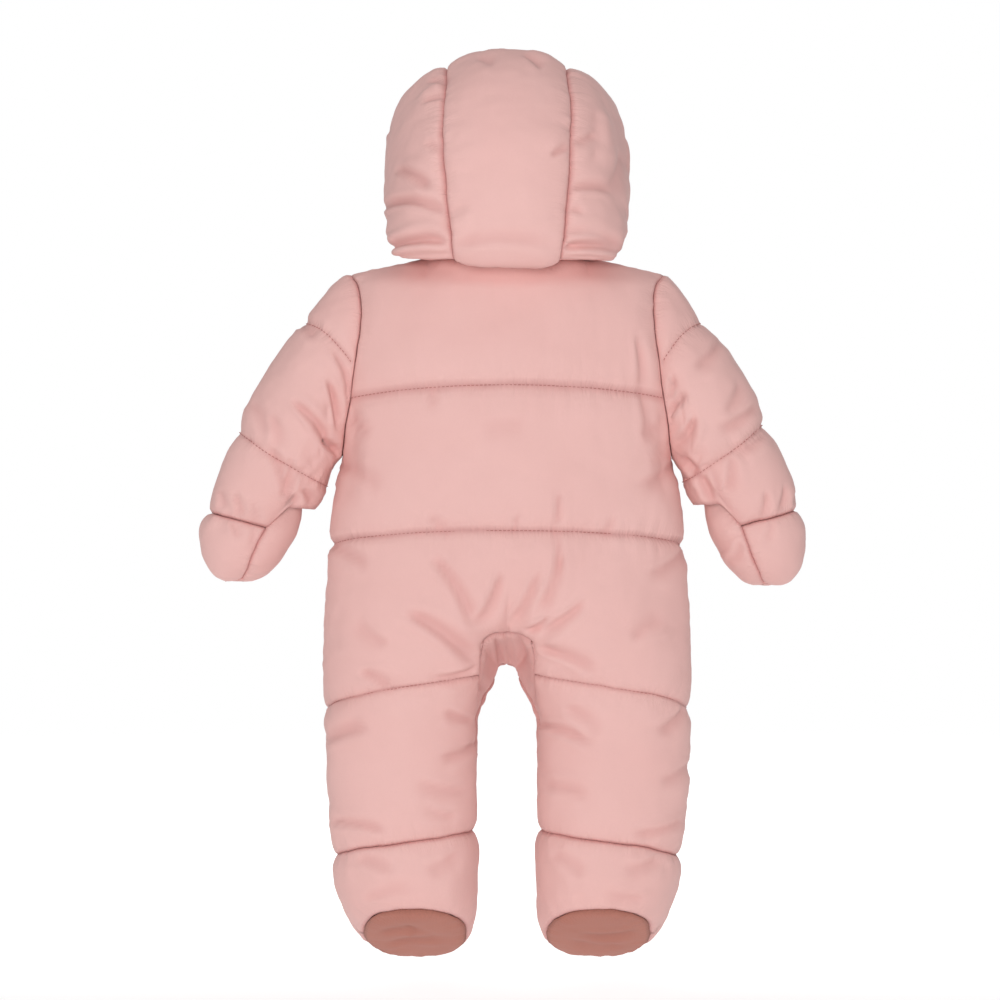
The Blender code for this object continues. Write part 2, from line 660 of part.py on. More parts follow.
def clear_of_shoulders(points, normals):
    """The filling thins on the hood's underside, above the shoulders."""
    under = np.clip(-1.6 * normals[..., 2], 0, 1)
    low = np.clip((70 - points[..., 2]) / 30, 0, 1)
    return 1 - under * low


def make_hood():
    """A strip from brow to nape between two side panels, open at the face."""
    along = np.array(HOOD_STATIONS)[:, None]
    share = np.linspace(-1, 1, HOOD_STRIP_COLUMNS + 1)[None, :]
    trim = 1 - 0.004
    grid = hood_point(*np.broadcast_arrays(along, np.abs(share) * trim), "strip")
    grid[..., 0] *= np.sign(share)
    seams = [grid[:, 0], grid[:, -1], grid[-1]]
    cloth_piece("hood_center", grid, outside=-1, seams=seams)
    share = np.linspace(0.006, 1, HOOD_SIDE_COLUMNS + 1)[None, :]
    grid = hood_point(*np.broadcast_arrays(along, share), "side")
    neck_start = int(np.argmax(grid[:, -1, 1] > -60))
    for name, side in (("left", 1), ("right", -1)):
        flip = np.array((side, 1, 1))
        seams = [grid[:, 0] * flip, grid[neck_start:, -1] * flip]
        cloth_piece("hood_" + name, grid * flip, outside=-side, seams=seams,
                    relief=clear_of_shoulders)


# ---------------------------------------------------------------- zip
def zip_line(height):
    """Depth of the front's middle at a height."""
    return body_section(np.asarray(height, float), np.ones_like(height, dtype=float), -1)[..., 1]


def make_zip():
    """The zip's tape and closed chain, the slider, and the pull tab that hangs from it."""
    heights = np.linspace(ZIP_TOP, ZIP_FOOT + 1, 18)
    upper = np.maximum(zip_line(np.minimum(heights, YOKE_HEIGHT)), -70)
    t = np.clip((heights - YOKE_HEIGHT) / (NECK_FRONT[1] - YOKE_HEIGHT), 0, 1)
    depth = upper + (-NECK_FRONT[0] - upper) * t**2
    across = np.linspace(-ZIP_HALF_WIDTH, ZIP_HALF_WIDTH, 3)[None, :]
    tape = stack(across, depth[:, None], heights[:, None])
    cloth_piece("zip_tape", tape, outside=1, colour=ZIP_PINK, wall=ZIP_TAPE).modifiers[
        0].thickness_vertex_group = 1.0
    face_y = float(np.interp(-SLIDER_HEIGHT, -heights, depth)) - 0.5
    make_slider(face_y)


def block(name, centre, size):
    """A box with its centre and size in millimetres."""
    bpy.ops.mesh.primitive_cube_add(size=1, location=np.array(centre) * MM)
    box = bpy.context.object
    box.name = name
    box.scale = np.array(size) * MM
    bpy.ops.object.transform_apply(location=False, rotation=False, scale=True)
    for owner in list(box.users_collection):
        owner.objects.unlink(box)
    return box


def cut(piece, cutter, operation):
    """Join a box to a piece or cut it away, and keep the box as a hidden tool."""
    change = piece.modifiers.new(operation.lower(), "BOOLEAN")
    change.operation = operation
    change.object = cutter
    cutters.objects.link(cutter)
    cutter.hide_render = True
    cutter.display_type = "WIRE"


def make_slider(face_y):
    """Slider body with a bail, and the tab whose top bar hangs in the bail."""
    width, thick, height = SLIDER_SIZE
    slider = block("zip_slider", (0, face_y - thick / 2, SLIDER_HEIGHT), SLIDER_SIZE)
    suit.objects.link(slider)
    bail_width, bail_out, bail_height = BAIL_SIZE
    front = face_y - thick
    bail = block("bail", (0, front - bail_out / 2 + 0.1, SLIDER_HEIGHT),
                 (bail_width, bail_out + 0.2, bail_height))
    cut(slider, bail, "UNION")
    tunnel_out = bail_out - BAIL_BAR
    tunnel = block("bail_tunnel", (0, front - tunnel_out / 2, SLIDER_HEIGHT),
                   (bail_width * 2, tunnel_out, bail_height - 2 * BAIL_BAR))
    cut(slider, tunnel, "DIFFERENCE")
    slider.data.materials.append(material("slider_metal", STEEL, 0.35, 1.0))
    hinge_y = front - tunnel_out / 2
    hinge = np.array((0, hinge_y, SLIDER_HEIGHT)) * MM
    tab_width, tab_thick, tab_length = TAB_SIZE
    tab = block("zip_pull", (0, hinge_y, SLIDER_HEIGHT + TAB_PIN / 2 - tab_length / 2), TAB_SIZE)
    suit.objects.link(tab)
    hole_width, hole_height = TAB_HOLE
    hole = block("tab_hole", (0, hinge_y, SLIDER_HEIGHT - TAB_PIN / 2 - hole_height / 2),
                 (hole_width, tab_thick * 3, hole_height))
    cut(tab, hole, "DIFFERENCE")
    tab.data.materials.append(material("pull_metal", STEEL, 0.35, 1.0))
    bpy.context.view_layer.update()
    offset = Vector(hinge) - tab.location
    tab.data.transform(Matrix.Translation(-offset))
    tab.location = hinge


# ---------------------------------------------------------------- build
for old in list(bpy.data.objects):
    bpy.data.objects.remove(old)
suit = bpy.data.collections.new("snowsuit")
cutters = bpy.data.collections.new("cutters")
bpy.context.scene.collection.children.link(suit)
bpy.context.scene.collection.children.link(cutters)

make_body()
make_gusset()
for arm_name, arm_side in (("left", 1), ("right", -1)):
    make_sleeve(arm_name, arm_side)
    make_mitten(arm_name, arm_side)
    make_boot(arm_name, arm_side)
make_hood()
make_zip()
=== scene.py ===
# %% [markdown]
# # A baby's padded snowsuit
#
# This lesson dresses up a snowsuit that is already the right size and shape.
# The frame holds plain solids for every cut piece of the suit.  Each cell
# below builds one piece again, finely enough to show its filling, its pulled
# seams and its creases, and puts it where the solid is.  Sizes are in
# millimetres from the middle of the neck: x to the wearer's left, y to the
# back, z up.

# %% Load the frame
import math

import bpy
import numpy as np
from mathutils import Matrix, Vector, kdtree, noise


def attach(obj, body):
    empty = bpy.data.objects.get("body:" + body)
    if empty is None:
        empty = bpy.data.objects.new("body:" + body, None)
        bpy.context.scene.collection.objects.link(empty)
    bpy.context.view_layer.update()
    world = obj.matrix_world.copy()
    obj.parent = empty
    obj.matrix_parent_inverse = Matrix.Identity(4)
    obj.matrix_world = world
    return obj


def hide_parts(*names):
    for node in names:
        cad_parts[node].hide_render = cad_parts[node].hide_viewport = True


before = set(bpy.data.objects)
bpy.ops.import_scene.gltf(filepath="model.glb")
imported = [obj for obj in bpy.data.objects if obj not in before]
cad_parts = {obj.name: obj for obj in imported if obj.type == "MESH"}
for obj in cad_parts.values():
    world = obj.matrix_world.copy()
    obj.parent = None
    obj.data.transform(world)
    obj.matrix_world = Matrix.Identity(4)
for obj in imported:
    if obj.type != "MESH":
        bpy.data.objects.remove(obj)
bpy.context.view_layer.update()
MM = 0.001
NOISE_SEED = 4      # without a seed, Blender's vector noise changes from run to run
noise.seed_set(NOISE_SEED)

# %% [markdown]
# ## Tables and smooth curves
#
# A pattern cutter works from a few measurements and joins them with smooth
# curves.  Each table here has a row for each height or section and a name for
# each column.  The curve between rows could be a Bezier; a cubic that never
# overshoots is used instead, because a suit has no waves between its measures.

# %% Tables and curves
def table(names, rows):
    """Name the columns of a table of numbers."""
    return dict(zip(names.split(), np.array(rows, float).T))


def curve(along, values, at):
    """Read a smooth curve through a table's column, with no overshoot."""
    order = np.argsort(along)
    x = along[order]
    y = values[order]
    step = np.diff(x)
    slope = np.diff(y) / step
    rising = slope[1:] * slope[:-1] > 0
    total = np.where(rising, slope[1:] + slope[:-1], 1.0)
    inside = np.where(rising, 2 * slope[1:] * slope[:-1] / total, 0.0)
    tangent = np.concatenate([slope[:1], inside, slope[-1:]])
    at = np.clip(np.asarray(at, float), x[0], x[-1])
    cell = np.clip(np.searchsorted(x, at, side="right") - 1, 0, len(step) - 1)
    u = (at - x[cell]) / step[cell]
    ends = (2 * u**3 - 3 * u**2 + 1) * y[cell] + (3 * u**2 - 2 * u**3) * y[cell + 1]
    slopes = (u**3 - 2 * u**2 + u) * tangent[cell] + (u**3 - u**2) * tangent[cell + 1]
    return ends + slopes * step[cell]


def stack(x, y, z):
    """Join three coordinate grids into one grid of points."""
    return np.stack(np.broadcast_arrays(x, y, z), axis=-1).astype(float)


def eased(value):
    """A soft step from 0 to 1."""
    value = np.clip(value, 0, 1)
    return value * value * (3 - 2 * value)


def signed_power(value, power):
    """Raise a cosine or sine to a power and keep its sign."""
    return np.sign(value) * np.abs(value) ** power


# %% [markdown]
# ## How filling behaves
#
# Wadding is trapped between two cloths and sewn flat along every seam and
# quilting line, so the cloth rises steeply from a line of stitches and is
# almost flat in the middle of a channel.  A cloth simulation with pressure
# gives the same profile but takes minutes and moves the outline, so the rise
# is worked out from each point's distance to the nearest stitching.  The same
# distance drives the small gathers that the thread pulls in.

# %% Distances from the stitching
NEXT_LINE = 37.0     # skipped between two lines, so that their places never meet


class Seams:
    """Lines of stitching to measure from: how far, and how far along them."""

    def __init__(self, lines, spacing=2.0):
        points = []
        along = []
        start = 0.0
        for line in lines:
            line = np.asarray(line, float)
            for a, b in zip(line[:-1], line[1:]):
                length = float(np.linalg.norm(b - a))
                if length < 1e-6:
                    continue
                for share in np.arange(0, 1, min(1.0, spacing / length)):
                    points.append(a + (b - a) * share)
                    along.append(start + length * share)
                start += length
            start += NEXT_LINE
        self.along = np.array(along)
        self.tree = kdtree.KDTree(len(points))
        for index, point in enumerate(points):
            self.tree.insert(point, index)
        self.tree.balance()

    def measure(self, points):
        """Distance to the nearest stitching, and the place along it, for a grid."""
        flat = points.reshape(-1, 3)
        found = [self.tree.find(point) for point in flat]
        distance = np.array([hit[2] for hit in found]).reshape(points.shape[:2])
        place = self.along[[hit[1] for hit in found]].reshape(points.shape[:2])
        return distance, place


# %% [markdown]
# Where two lines of stitching are equally near, the nearest place jumps from
# one to the other, and gathers drawn from it would tear into a zigzag.  Such
# cells are found by their jump and calmed, with a soft border round them.

# %% Calm places and smooth noise
def steadiness(place, limit=16.0, passes=5):
    """1 where the place along the stitching runs smoothly, 0 where it jumps."""
    down = np.abs(np.diff(place, axis=0)) > limit
    across = np.abs(np.diff(place, axis=1)) > limit
    rough = np.zeros(place.shape)
    rough[:-1] = np.maximum(rough[:-1], down)
    rough[1:] = np.maximum(rough[1:], down)
    rough[:, :-1] = np.maximum(rough[:, :-1], across)
    rough[:, 1:] = np.maximum(rough[:, 1:], across)
    for step in range(passes):
        edge = np.pad(rough, 1, "edge")
        sides = (edge[:-2, 1:-1], edge[2:, 1:-1], edge[1:-1, :-2], edge[1:-1, 2:])
        if step == 0:
            rough = np.maximum(rough, np.max(sides, axis=0))
        else:
            rough = np.maximum(rough * 0.999, (rough + sum(sides)) / 5)
    return 1 - np.clip(rough * 1.3, 0, 1)


def ripple(points, size, seed):
    """Smooth noise between about -1 and 1, with bumps of the given size."""
    shift = Vector((seed * 7.3, seed * 3.1, seed * 5.7))
    flat = points.reshape(-1, 3) / size
    values = [noise.noise(Vector(point) + shift) for point in flat]
    return np.array(values).reshape(points.shape[:2])


def grid_normals(points, ring=False):
    """Unit normals of a grid; a ring's last column is next to its first."""
    if ring:
        around = np.roll(points, -1, axis=1) - np.roll(points, 1, axis=1)
    else:
        around = np.gradient(points, axis=1)
    normals = np.cross(np.gradient(points, axis=0), around)
    return normals / np.maximum(np.linalg.norm(normals, axis=-1, keepdims=True), 1e-9)


# %% [markdown]
# ## Creases placed one by one
#
# A few folds are long enough to be seen from across a room: under the arms,
# beside the crotch, over the cheeks of the hood.  They could be sculpted, but
# a row of numbers is easier to move.  Each row is a face, 1 behind, -1 in
# front or 0 for both, then x and z of the two ends, the depth and the width.
# A negative depth is a ridge.

# %% Creases
CREASE_GAIN = 1.25


def crease_height(points, creases):
    """How far the creases push each point in, with a low lip on either side."""
    height = np.zeros(points.shape[:2])
    for face, x0, z0, x1, z1, depth, width in creases:
        start = np.array((x0, z0))
        run = np.array((x1, z1)) - start
        length = np.linalg.norm(run)
        flat = points[..., [0, 2]] - start
        share = (flat @ run) / length**2
        bow = 0.06 * length * np.sin(np.clip(share, 0, 1) * math.pi)
        aside = (flat[..., 0] * run[1] - flat[..., 1] * run[0]) / length - bow
        fade = eased(share / 0.25 + 0.35) * eased((1 - share) / 0.35 + 0.2)
        side = 1.0 if face == 0 else (points[..., 1] * face > 0)
        spread = width * (0.6 + 0.45 * np.clip(share, 0, 1)) * np.where(aside > 0, 1.5, 0.8)
        trough = np.exp(-(aside / spread) ** 2)
        lips = 0.4 * np.exp(-((np.abs(aside) - 1.9 * spread) / spread) ** 2)
        height -= CREASE_GAIN * depth * (trough - lips) * fade * side
    return height


# %% [markdown]
# ## From a grid of points to a piece of cloth
#
# Every cut piece is a grid: rows down it and columns across it.  Sewn edges
# wander a little, and the wandering depends only on the place, so two pieces
# that share a seam wander together.

# %% Faces, seams and normals of a grid
NORMAL_PASSES = 6


def faces_of(rows, columns, ring, flip, skip=None):
    """Quads of a grid, without those in the column that a gap runs through."""
    steps = columns if ring else columns - 1
    row, column = np.meshgrid(np.arange(rows - 1), np.arange(steps), indexing="ij")
    if skip is not None:
        keep = column != skip
        row = row[keep]
        column = column[keep]
    row = row.ravel()
    column = column.ravel()
    after = (column + 1) % columns
    quads = np.stack([row * columns + column, row * columns + after,
                      (row + 1) * columns + after, (row + 1) * columns + column], axis=1)
    return quads[:, ::-1] if flip else quads


def warp(points):
    """Small wanderings of the sewing, the same for two pieces that share a seam."""
    flat = points.reshape(-1, 3)
    moved = []
    for size, amount in ((26.0, 1.1), (9.0, 0.45)):
        moved.append([noise.noise_vector(Vector(point) / size) * amount for point in flat])
    return points + np.sum(np.array(moved, float), axis=0).reshape(points.shape)


def even_normals(grid, ring, skip):
    """Outward normals averaged over their neighbours, with one normal where two halves meet."""
    if skip is None:
        normals = grid_normals(grid, ring)
    else:
        halves = (grid[:, :skip + 1], grid[:, skip + 1:])
        normals = np.concatenate([grid_normals(half) for half in halves], axis=1)
        joined = np.linalg.norm(grid[:, skip] - grid[:, skip + 1], axis=-1) < 0.01
    for _ in range(NORMAL_PASSES):
        wide = np.pad(normals, ((1, 1), (1, 1), (0, 0)), "edge")
        if ring:
            wide[:, 0] = wide[:, -2]
            wide[:, -1] = wide[:, 1]
        if skip is not None:
            wide[1:-1, skip + 1][~joined] = normals[:, skip][~joined]
        near = wide[:-2, 1:-1] + wide[2:, 1:-1] + wide[1:-1, :-2] + wide[1:-1, 2:]
        normals = normals * 0.4 + near * 0.15
        normals = normals / np.maximum(np.linalg.norm(normals, axis=-1, keepdims=True), 1e-9)
        if skip is not None:
            shared = (normals[:, skip] + normals[:, skip + 1])[joined]
            shared = shared / np.linalg.norm(shared, axis=-1, keepdims=True)
            normals[joined, skip] = shared
            normals[joined, skip + 1] = shared
    return normals


def turned_in(points, normals, ring, allowance):
    """Add a border that turns into the suit, as a seam allowance does."""
    inward = points - normals * allowance
    whole = np.concatenate([inward[:1], points, inward[-1:]], axis=0)
    if ring:
        return whole
    inward = np.concatenate([inward[:1], inward, inward[-1:]], axis=0)
    return np.concatenate([inward[:, :1], whole, inward[:, -1:]], axis=1)


# %% [markdown]
# The filling lifts the cloth most in the middle of a channel.  Thread pulls in
# small gathers beside it, in patches of uneven strength, and the rest of the
# cloth has a soft unevenness of its own.

# %% Filling and gathers
PUFF = 6.5             # rise in the middle of a channel
PUFF_REACH = 24.0      # distance from the stitching at which it is reached
GATHER_HEIGHT = 2.6
GATHER_SIZE = (7.0, 34.0)      # along the stitching and away from it
PATCH_SIZE = (23.0, 60.0)      # the same, for a patch of stronger gathers
GATHER_FADE = 13.0
GATHER_START = 2.5


def gathered(distance, place, steady, gathers, seed):
    """Height of the gathers, which run away from the stitching and fade."""
    def along_seam(size, shift):
        at = stack(place / size[0], np.zeros_like(place), distance / size[1]).reshape(-1, 3)
        return np.array([noise.noise(Vector(p) + shift) for p in at]).reshape(distance.shape)
    pull = along_seam(GATHER_SIZE, Vector((seed * 9.1, 0, 0)))
    strength = 0.55 + 0.9 * along_seam(PATCH_SIZE, Vector((0, seed * 4.7, 0)))
    fade = np.exp(-distance / GATHER_FADE) * np.clip(distance / GATHER_START, 0, 1) * steady
    return gathers * GATHER_HEIGHT * np.clip(strength, 0.1, 1.4) * pull * fade


def unevenness(grid, distance, seed):
    """Slow swells in the filling, away from the stitching."""
    return eased(distance / 18.0) * (1.1 * ripple(grid, 46.0, seed) + 0.5 * ripple(grid, 19.0, seed + 3))


# %% [markdown]
# A raised grid becomes cloth with a Solidify modifier, thick over the filling
# and thin at the seams, and the modifier is applied so that plain mesh is
# left.  Seam allowances turn in round the edge, as they do inside a real suit.
# Five numbers stay on the points for the materials: how near the stitching is,
# which paints shade along the seams, and how far, the place along it, the
# strength of the puckers, and the depth in a crease, which paints shade in its
# trough.

# %% A solid piece of cloth
PUFF_WALL = 6.0
SEAM_WALL = 1.6
SEAM_ALLOWANCE = 4.0
JOIN_WITHIN = 0.00002     # metres, for the two halves of the back
SEAM_SHADE = 1.1
PUCKER_FADE = 6.2
pieces = {}


def settle(piece):
    """Apply a piece's modifiers and leave plain mesh."""
    graph = bpy.context.evaluated_depsgraph_get()
    made = bpy.data.meshes.new_from_object(piece.evaluated_get(graph), depsgraph=graph)
    piece.modifiers.clear()
    piece.data = made


def solid_cloth(name, points, quads, values, full, wall, joined):
    """Make the object: numbers on its points, then its thickness, applied."""
    mesh = bpy.data.meshes.new(name)
    mesh.from_pydata((points.reshape(-1, 3) * MM).tolist(), [], quads.tolist())
    for label, value in values.items():
        layer = mesh.attributes.new(label, "FLOAT", "POINT")
        layer.data.foreach_set("value", value.ravel().astype("f"))
    piece = bpy.data.objects.new(name + "_cloth", mesh)
    bpy.context.scene.collection.objects.link(piece)
    group = piece.vertex_groups.new(name="filling")
    for index, weight in enumerate(full.ravel()):
        group.add([index], float(weight), "REPLACE")
    if joined:
        piece.modifiers.new("centre back", "WELD").merge_threshold = JOIN_WITHIN
    shell = piece.modifiers.new("cloth and filling", "SOLIDIFY")
    shell.thickness = wall * MM
    shell.offset = -1
    shell.vertex_group = "filling"
    shell.thickness_vertex_group = SEAM_WALL / wall
    settle(piece)
    return piece


# %% [markdown]
# A pattern cutter would lay each piece flat.  Its flat size is its widest row
# and its longest column, measured on the sewn shape before the filling lifts
# it, with the allowances.  Filling takes up more cloth than that, and the area
# is raised by an estimated share for it.  The tape has no filling and fills
# its whole rectangle, so its area is held just under the rectangle's.

# %% The flat cut
TAKE_UP = 1.08
FULLEST_CUT = 0.98     # share of the rectangle round the cut


def declare_cut(grid, skip=None, ring=False):
    """Work out the size of the flat cut: its widest row, its longest column and its area, which are not kept.
    """
    if ring:
        grid = np.concatenate([grid, grid[:, :1]], axis=1)
    across = np.linalg.norm(np.diff(grid, axis=1), axis=-1)
    if skip is not None:
        across[:, skip] = 0
    down = np.linalg.norm(np.diff(grid, axis=0), axis=-1)
    area = float(np.sum((down[:, :-1] + down[:, 1:]) / 2 * (across[:-1] + across[1:]) / 2)) * MM**2
    width = float(across.sum(axis=1).max()) * MM
    length = float(down.sum(axis=0).max()) * MM
    area = min(area * TAKE_UP, FULLEST_CUT * width * length)


# %% [markdown]
# One call makes a piece from its grid and its lines of stitching.  `ring`
# closes a sleeve or a bootee round the limb, `skip` is the column between the
# two halves of the back, and `relief` thins the filling where pieces press
# together.

# %% Build a piece of cloth
def cloth(name, grid, outside, seams, finish, ring=False, skip=None, puff=PUFF, wall=PUFF_WALL,
          reach=PUFF_REACH, gathers=1.0, creases=(), relief=None, allowance=SEAM_ALLOWANCE, seed=1):
    """Raise a grid by its filling and make it a solid piece that replaces its plain one."""
    seams = [warp(np.asarray(seam)[None])[0] for seam in seams]
    grid = warp(grid)
    normals = even_normals(grid, ring, skip) * outside
    distance, place = Seams(seams).measure(grid)
    steady = steadiness(place)
    near = np.clip(distance / reach, 0, 1)
    full = np.sqrt(1 - (1 - near) ** 2)
    if relief is not None:
        full = full * relief(grid, normals)
    folds = crease_height(grid, creases)
    height = puff * full
    height = height + gathered(distance, place, steady, gathers, seed)
    height = height + unevenness(grid, distance, seed)
    height = height + folds * np.clip(distance / 5.0, 0, 1)
    points = grid + normals * height[..., None]
    gap = skip
    whole = points
    cut = grid
    if allowance:
        whole = turned_in(points, normals, ring, allowance)
        cut = turned_in(grid, normals, ring, allowance)
        border = ((1, 1), (0, 0) if ring else (1, 1))
        padded = (np.pad(v, border, "edge") for v in (distance, place, full, folds, steady))
        distance, place, full, folds, steady = padded
        gap = None if skip is None else skip + 1
    # The nearness to the seam and the crease depth darken the colour in the shader: painted shade in the seam
    # valleys and crease troughs.
    values = {"painted_seam_shade": np.exp(-distance / SEAM_SHADE), "painted_fold_shade": np.clip(-folds / 3, 0, 1),
              "pucker": np.exp(-distance / PUCKER_FADE) * steady, "seam_place": place, "from_seam": distance}
    quads = faces_of(*whole.shape[:2], ring, outside > 0, gap)
    piece = solid_cloth(name, whole, quads, values, full, wall, skip is not None)
    piece.data.materials.append(finish)
    piece.data.shade_smooth()
    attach(piece, "suit")
    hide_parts(name)
    declare_cut(cut, gap, ring)
    pieces[name] = dict(points=points, grid=grid, normals=normals)
    print(name, len(piece.data.polygons), "faces")


# %% [markdown]
# ## Finishes
#
# Nodes could be joined one by one, but shader sums are easier to read as sums,
# so a small class wraps a socket and turns + - * into Math nodes.  Any other
# node comes from one method.

# %% Wrapped sockets
class Wire:
    """A shader value: an output socket that can stand in a sum."""

    def __init__(self, finish, socket):
        self.finish = finish
        self.socket = socket

    def sum(self, operation, first, second):
        return self.finish.node("ShaderNodeMath", {"operation": operation}, {0: first, 1: second})

    def __add__(self, other):
        return self.sum("ADD", self, other)

    def __radd__(self, other):
        return self.sum("ADD", other, self)

    def __sub__(self, other):
        return self.sum("SUBTRACT", self, other)

    def __rsub__(self, other):
        return self.sum("SUBTRACT", other, self)

    def __mul__(self, other):
        return self.sum("MULTIPLY", self, other)

    def __rmul__(self, other):
        return self.sum("MULTIPLY", other, self)


class Finish:
    """A material under construction, with its Principled shader."""

    def __init__(self, name, roughness, metallic=0.0, sheen=0.0):
        self.material = bpy.data.materials.new(name)
        self.material.use_nodes = True
        self.tree = self.material.node_tree
        self.shader = self.tree.nodes["Principled BSDF"]
        self.shader.inputs["Roughness"].default_value = roughness
        self.shader.inputs["Metallic"].default_value = metallic
        self.shader.inputs["Sheen Weight"].default_value = sheen
        self.shader.inputs["Sheen Roughness"].default_value = 0.45

    def node(self, kind, settings=None, inputs=None, output=0):
        """Add a node: its settings first, then the values or links of its sockets."""
        made = self.tree.nodes.new(kind)
        for key, value in (settings or {}).items():
            setattr(made, key, value)
        for key, value in (inputs or {}).items():
            if isinstance(value, Wire):
                self.tree.links.new(value.socket, made.inputs[key])
            else:
                made.inputs[key].default_value = value
        return Wire(self, made.outputs[output])

    def blend(self, factor, first, second):
        """Mix two colours."""
        return self.node("ShaderNodeMix", {"data_type": "RGBA"}, {0: factor, 6: first, 7: second}, 2)

    def set(self, name, wire):
        self.tree.links.new(wire.socket, self.shader.inputs[name])


# %% [markdown]
# ## The shell cloth
#
# The shell is a soft, tightly woven polyester in dusty pink, nearly matt.  Up
# close it has a plain weave, which is bump; further off its colour drifts a
# little, because wadding shows through where it is thick.  Seams and folds
# have painted shade: their colour is mixed towards a warmer, deeper pink.  The
# finest puckers along a seam are bump too.

# %% A woven cloth
BUMP_STRENGTH = 0.22
PUCKER_STRENGTH = 0.8
PUCKER_DEPTH = 0.0022     # metres, at full strength
SHEEN = 0.08


def woven(name, colour, pale, deep, roughness, threads, relief):
    """A woven cloth whose colour drifts, with painted shade in the deeper colour at seams and folds."""
    finish = Finish(name, roughness, sheen=SHEEN)
    place = finish.node("ShaderNodeTexCoord", output=3)
    drift = finish.node("ShaderNodeTexNoise", None, {"Vector": place, "Scale": 14.0, "Detail": 3.0})
    grain = finish.node("ShaderNodeTexNoise", None, {"Vector": place, "Scale": 900.0, "Detail": 2.0})
    base = finish.blend(drift * 1.3 - 0.15, colour, pale)
    base = finish.blend(grain * 0.10, base, deep)
    # Painted shade: the colour darkens towards the deep pink near the seams and in the troughs of the
    # creases.
    seam = finish.node("ShaderNodeAttribute", {"attribute_name": "painted_seam_shade"}, output=2)
    painted_fold_shade = finish.node("ShaderNodeAttribute", {"attribute_name": "painted_fold_shade"}, output=2)
    base = finish.blend(seam * 0.45, base, deep)
    base = finish.blend(painted_fold_shade * 0.22, base, deep)
    finish.set("Base Color", base)
    thread_size = {"Vector": place, "Scale": threads}
    upright = finish.node("ShaderNodeTexWave", {"bands_direction": "X"}, thread_size)
    level = finish.node("ShaderNodeTexWave", {"bands_direction": "Z"}, thread_size)
    fine = finish.node("ShaderNodeTexNoise", None, {"Vector": place, "Scale": 260.0, "Detail": 4.0})
    weave = upright * 0.35 + level * 0.35 + fine * 0.6
    bump = finish.node("ShaderNodeBump", None, {
        "Strength": BUMP_STRENGTH, "Distance": relief, "Height": weave})
    along = finish.node("ShaderNodeAttribute", {"attribute_name": "seam_place"}, output=2)
    away = finish.node("ShaderNodeAttribute", {"attribute_name": "from_seam"}, output=2)
    lines = finish.node("ShaderNodeCombineXYZ", None, {"X": along * 0.34, "Y": away * 0.05})
    pucker = finish.node("ShaderNodeTexNoise", None, {"Vector": lines, "Scale": 1.0, "Detail": 2.0})
    fading = finish.node("ShaderNodeAttribute", {"attribute_name": "pucker"}, output=2)
    finish.set("Normal", finish.node("ShaderNodeBump", None, {
        "Strength": PUCKER_STRENGTH, "Distance": PUCKER_DEPTH, "Height": pucker * fading, "Normal": bump}))
    return finish.material


# %% [markdown]
# The shell, the soles and the zip's tape share that weave.  The soles are the
# shell's pink cloth in the shade under the feet; their browner colour is
# painted shade, and they are rougher, with a coarser thread.  Each finish has
# its colour, a paler one to drift to and a deeper one for the grain and the
# painted shade at seams and creases, then its roughness, its threads and how
# far they stand up.

# %% Shell, sole and tape finishes
# The deep colours give the fine grain and the painted shade at seams and in creases.
SHELL = (0.800, 0.470, 0.438, 1.0)
SHELL_PALE = (0.845, 0.520, 0.486, 1.0)
SHELL_DEEP = (0.560, 0.205, 0.195, 1.0)
# The sole colours are the shell's pink darkened towards brown: painted shade for the shadow under the foot.
SOLE = (0.450, 0.172, 0.128, 1.0)
SOLE_PALE = (0.500, 0.205, 0.155, 1.0)
SOLE_DEEP = (0.240, 0.080, 0.055, 1.0)
TAPE = (0.66, 0.30, 0.28, 1.0)
TAPE_PALE = (0.70, 0.34, 0.31, 1.0)
shell_cloth = woven("dusty_pink_shell", SHELL, SHELL_PALE, SHELL_DEEP, 0.78, 420.0, 0.0003)
sole_cloth = woven("pink_sole_painted_shade", SOLE, SOLE_PALE, SOLE_DEEP, 0.88, 260.0, 0.0005)
tape_cloth = woven("zip_tape_weave", TAPE, TAPE_PALE, SHELL_DEEP, 0.8, 300.0, 0.0003)
print("finishes", [m.name for m in (shell_cloth, sole_cloth, tape_cloth)])

# %% [markdown]
# ## The back, in one piece
#
# The back runs from the shoulder seams to the ankle seams, with a notch at
# the crotch.  Its sections are ovals: one across the chest and seat, which
# turns into one round each leg as its middle moves outward.  Three lines of
# quilting hold its filling.

# %% Body tables
SEAM_EDGE = 0.25       # from the middle of a side seam to its cloth
OVAL_POWER = 0.75      # below 1 squares the ovals
NOTCH_REACH = 5        # how quickly the notch stops drawing the columns aside
SHOULDER_X = 128.0
NECK_HALF_WIDTH = 62.0
NECK_SIDE_HEIGHT = 14.0
NECK_BACK = (52.0, 6.0)        # depth and height of the neck's middle
NECK_FRONT = (54.0, -14.0)
YOKE_HEIGHT = -45.0
ARMHOLE_MIDDLE = -75.0
ARMHOLE_HALF = 75.0
ARMHOLE_DEPTH = 36.0
ZIP_EDGE = 5.3
ZIP_TOP = -17.0
ZIP_FOOT = -288.0
BODY = table("height side_x depth_back depth_front", (
    (0, SHOULDER_X, 40, 40), (-12, 120.5, 48, 47), (-30, 118, 53, 53), (-50, 119, 56, 54),
    (-68, 122, 57, 54), (-90, 125, 58, 54), (-120, 130, 59, 55), (-150, 135, 60, 56),
    (-194, 139, 61, 58), (-223, 141, 62, 59), (-282, 144, 61, 57), (-340, 145, 54, 50),
    (-403, 143, 48, 47), (-440, 141, 46, 46), (-480, 137, 45, 46)))
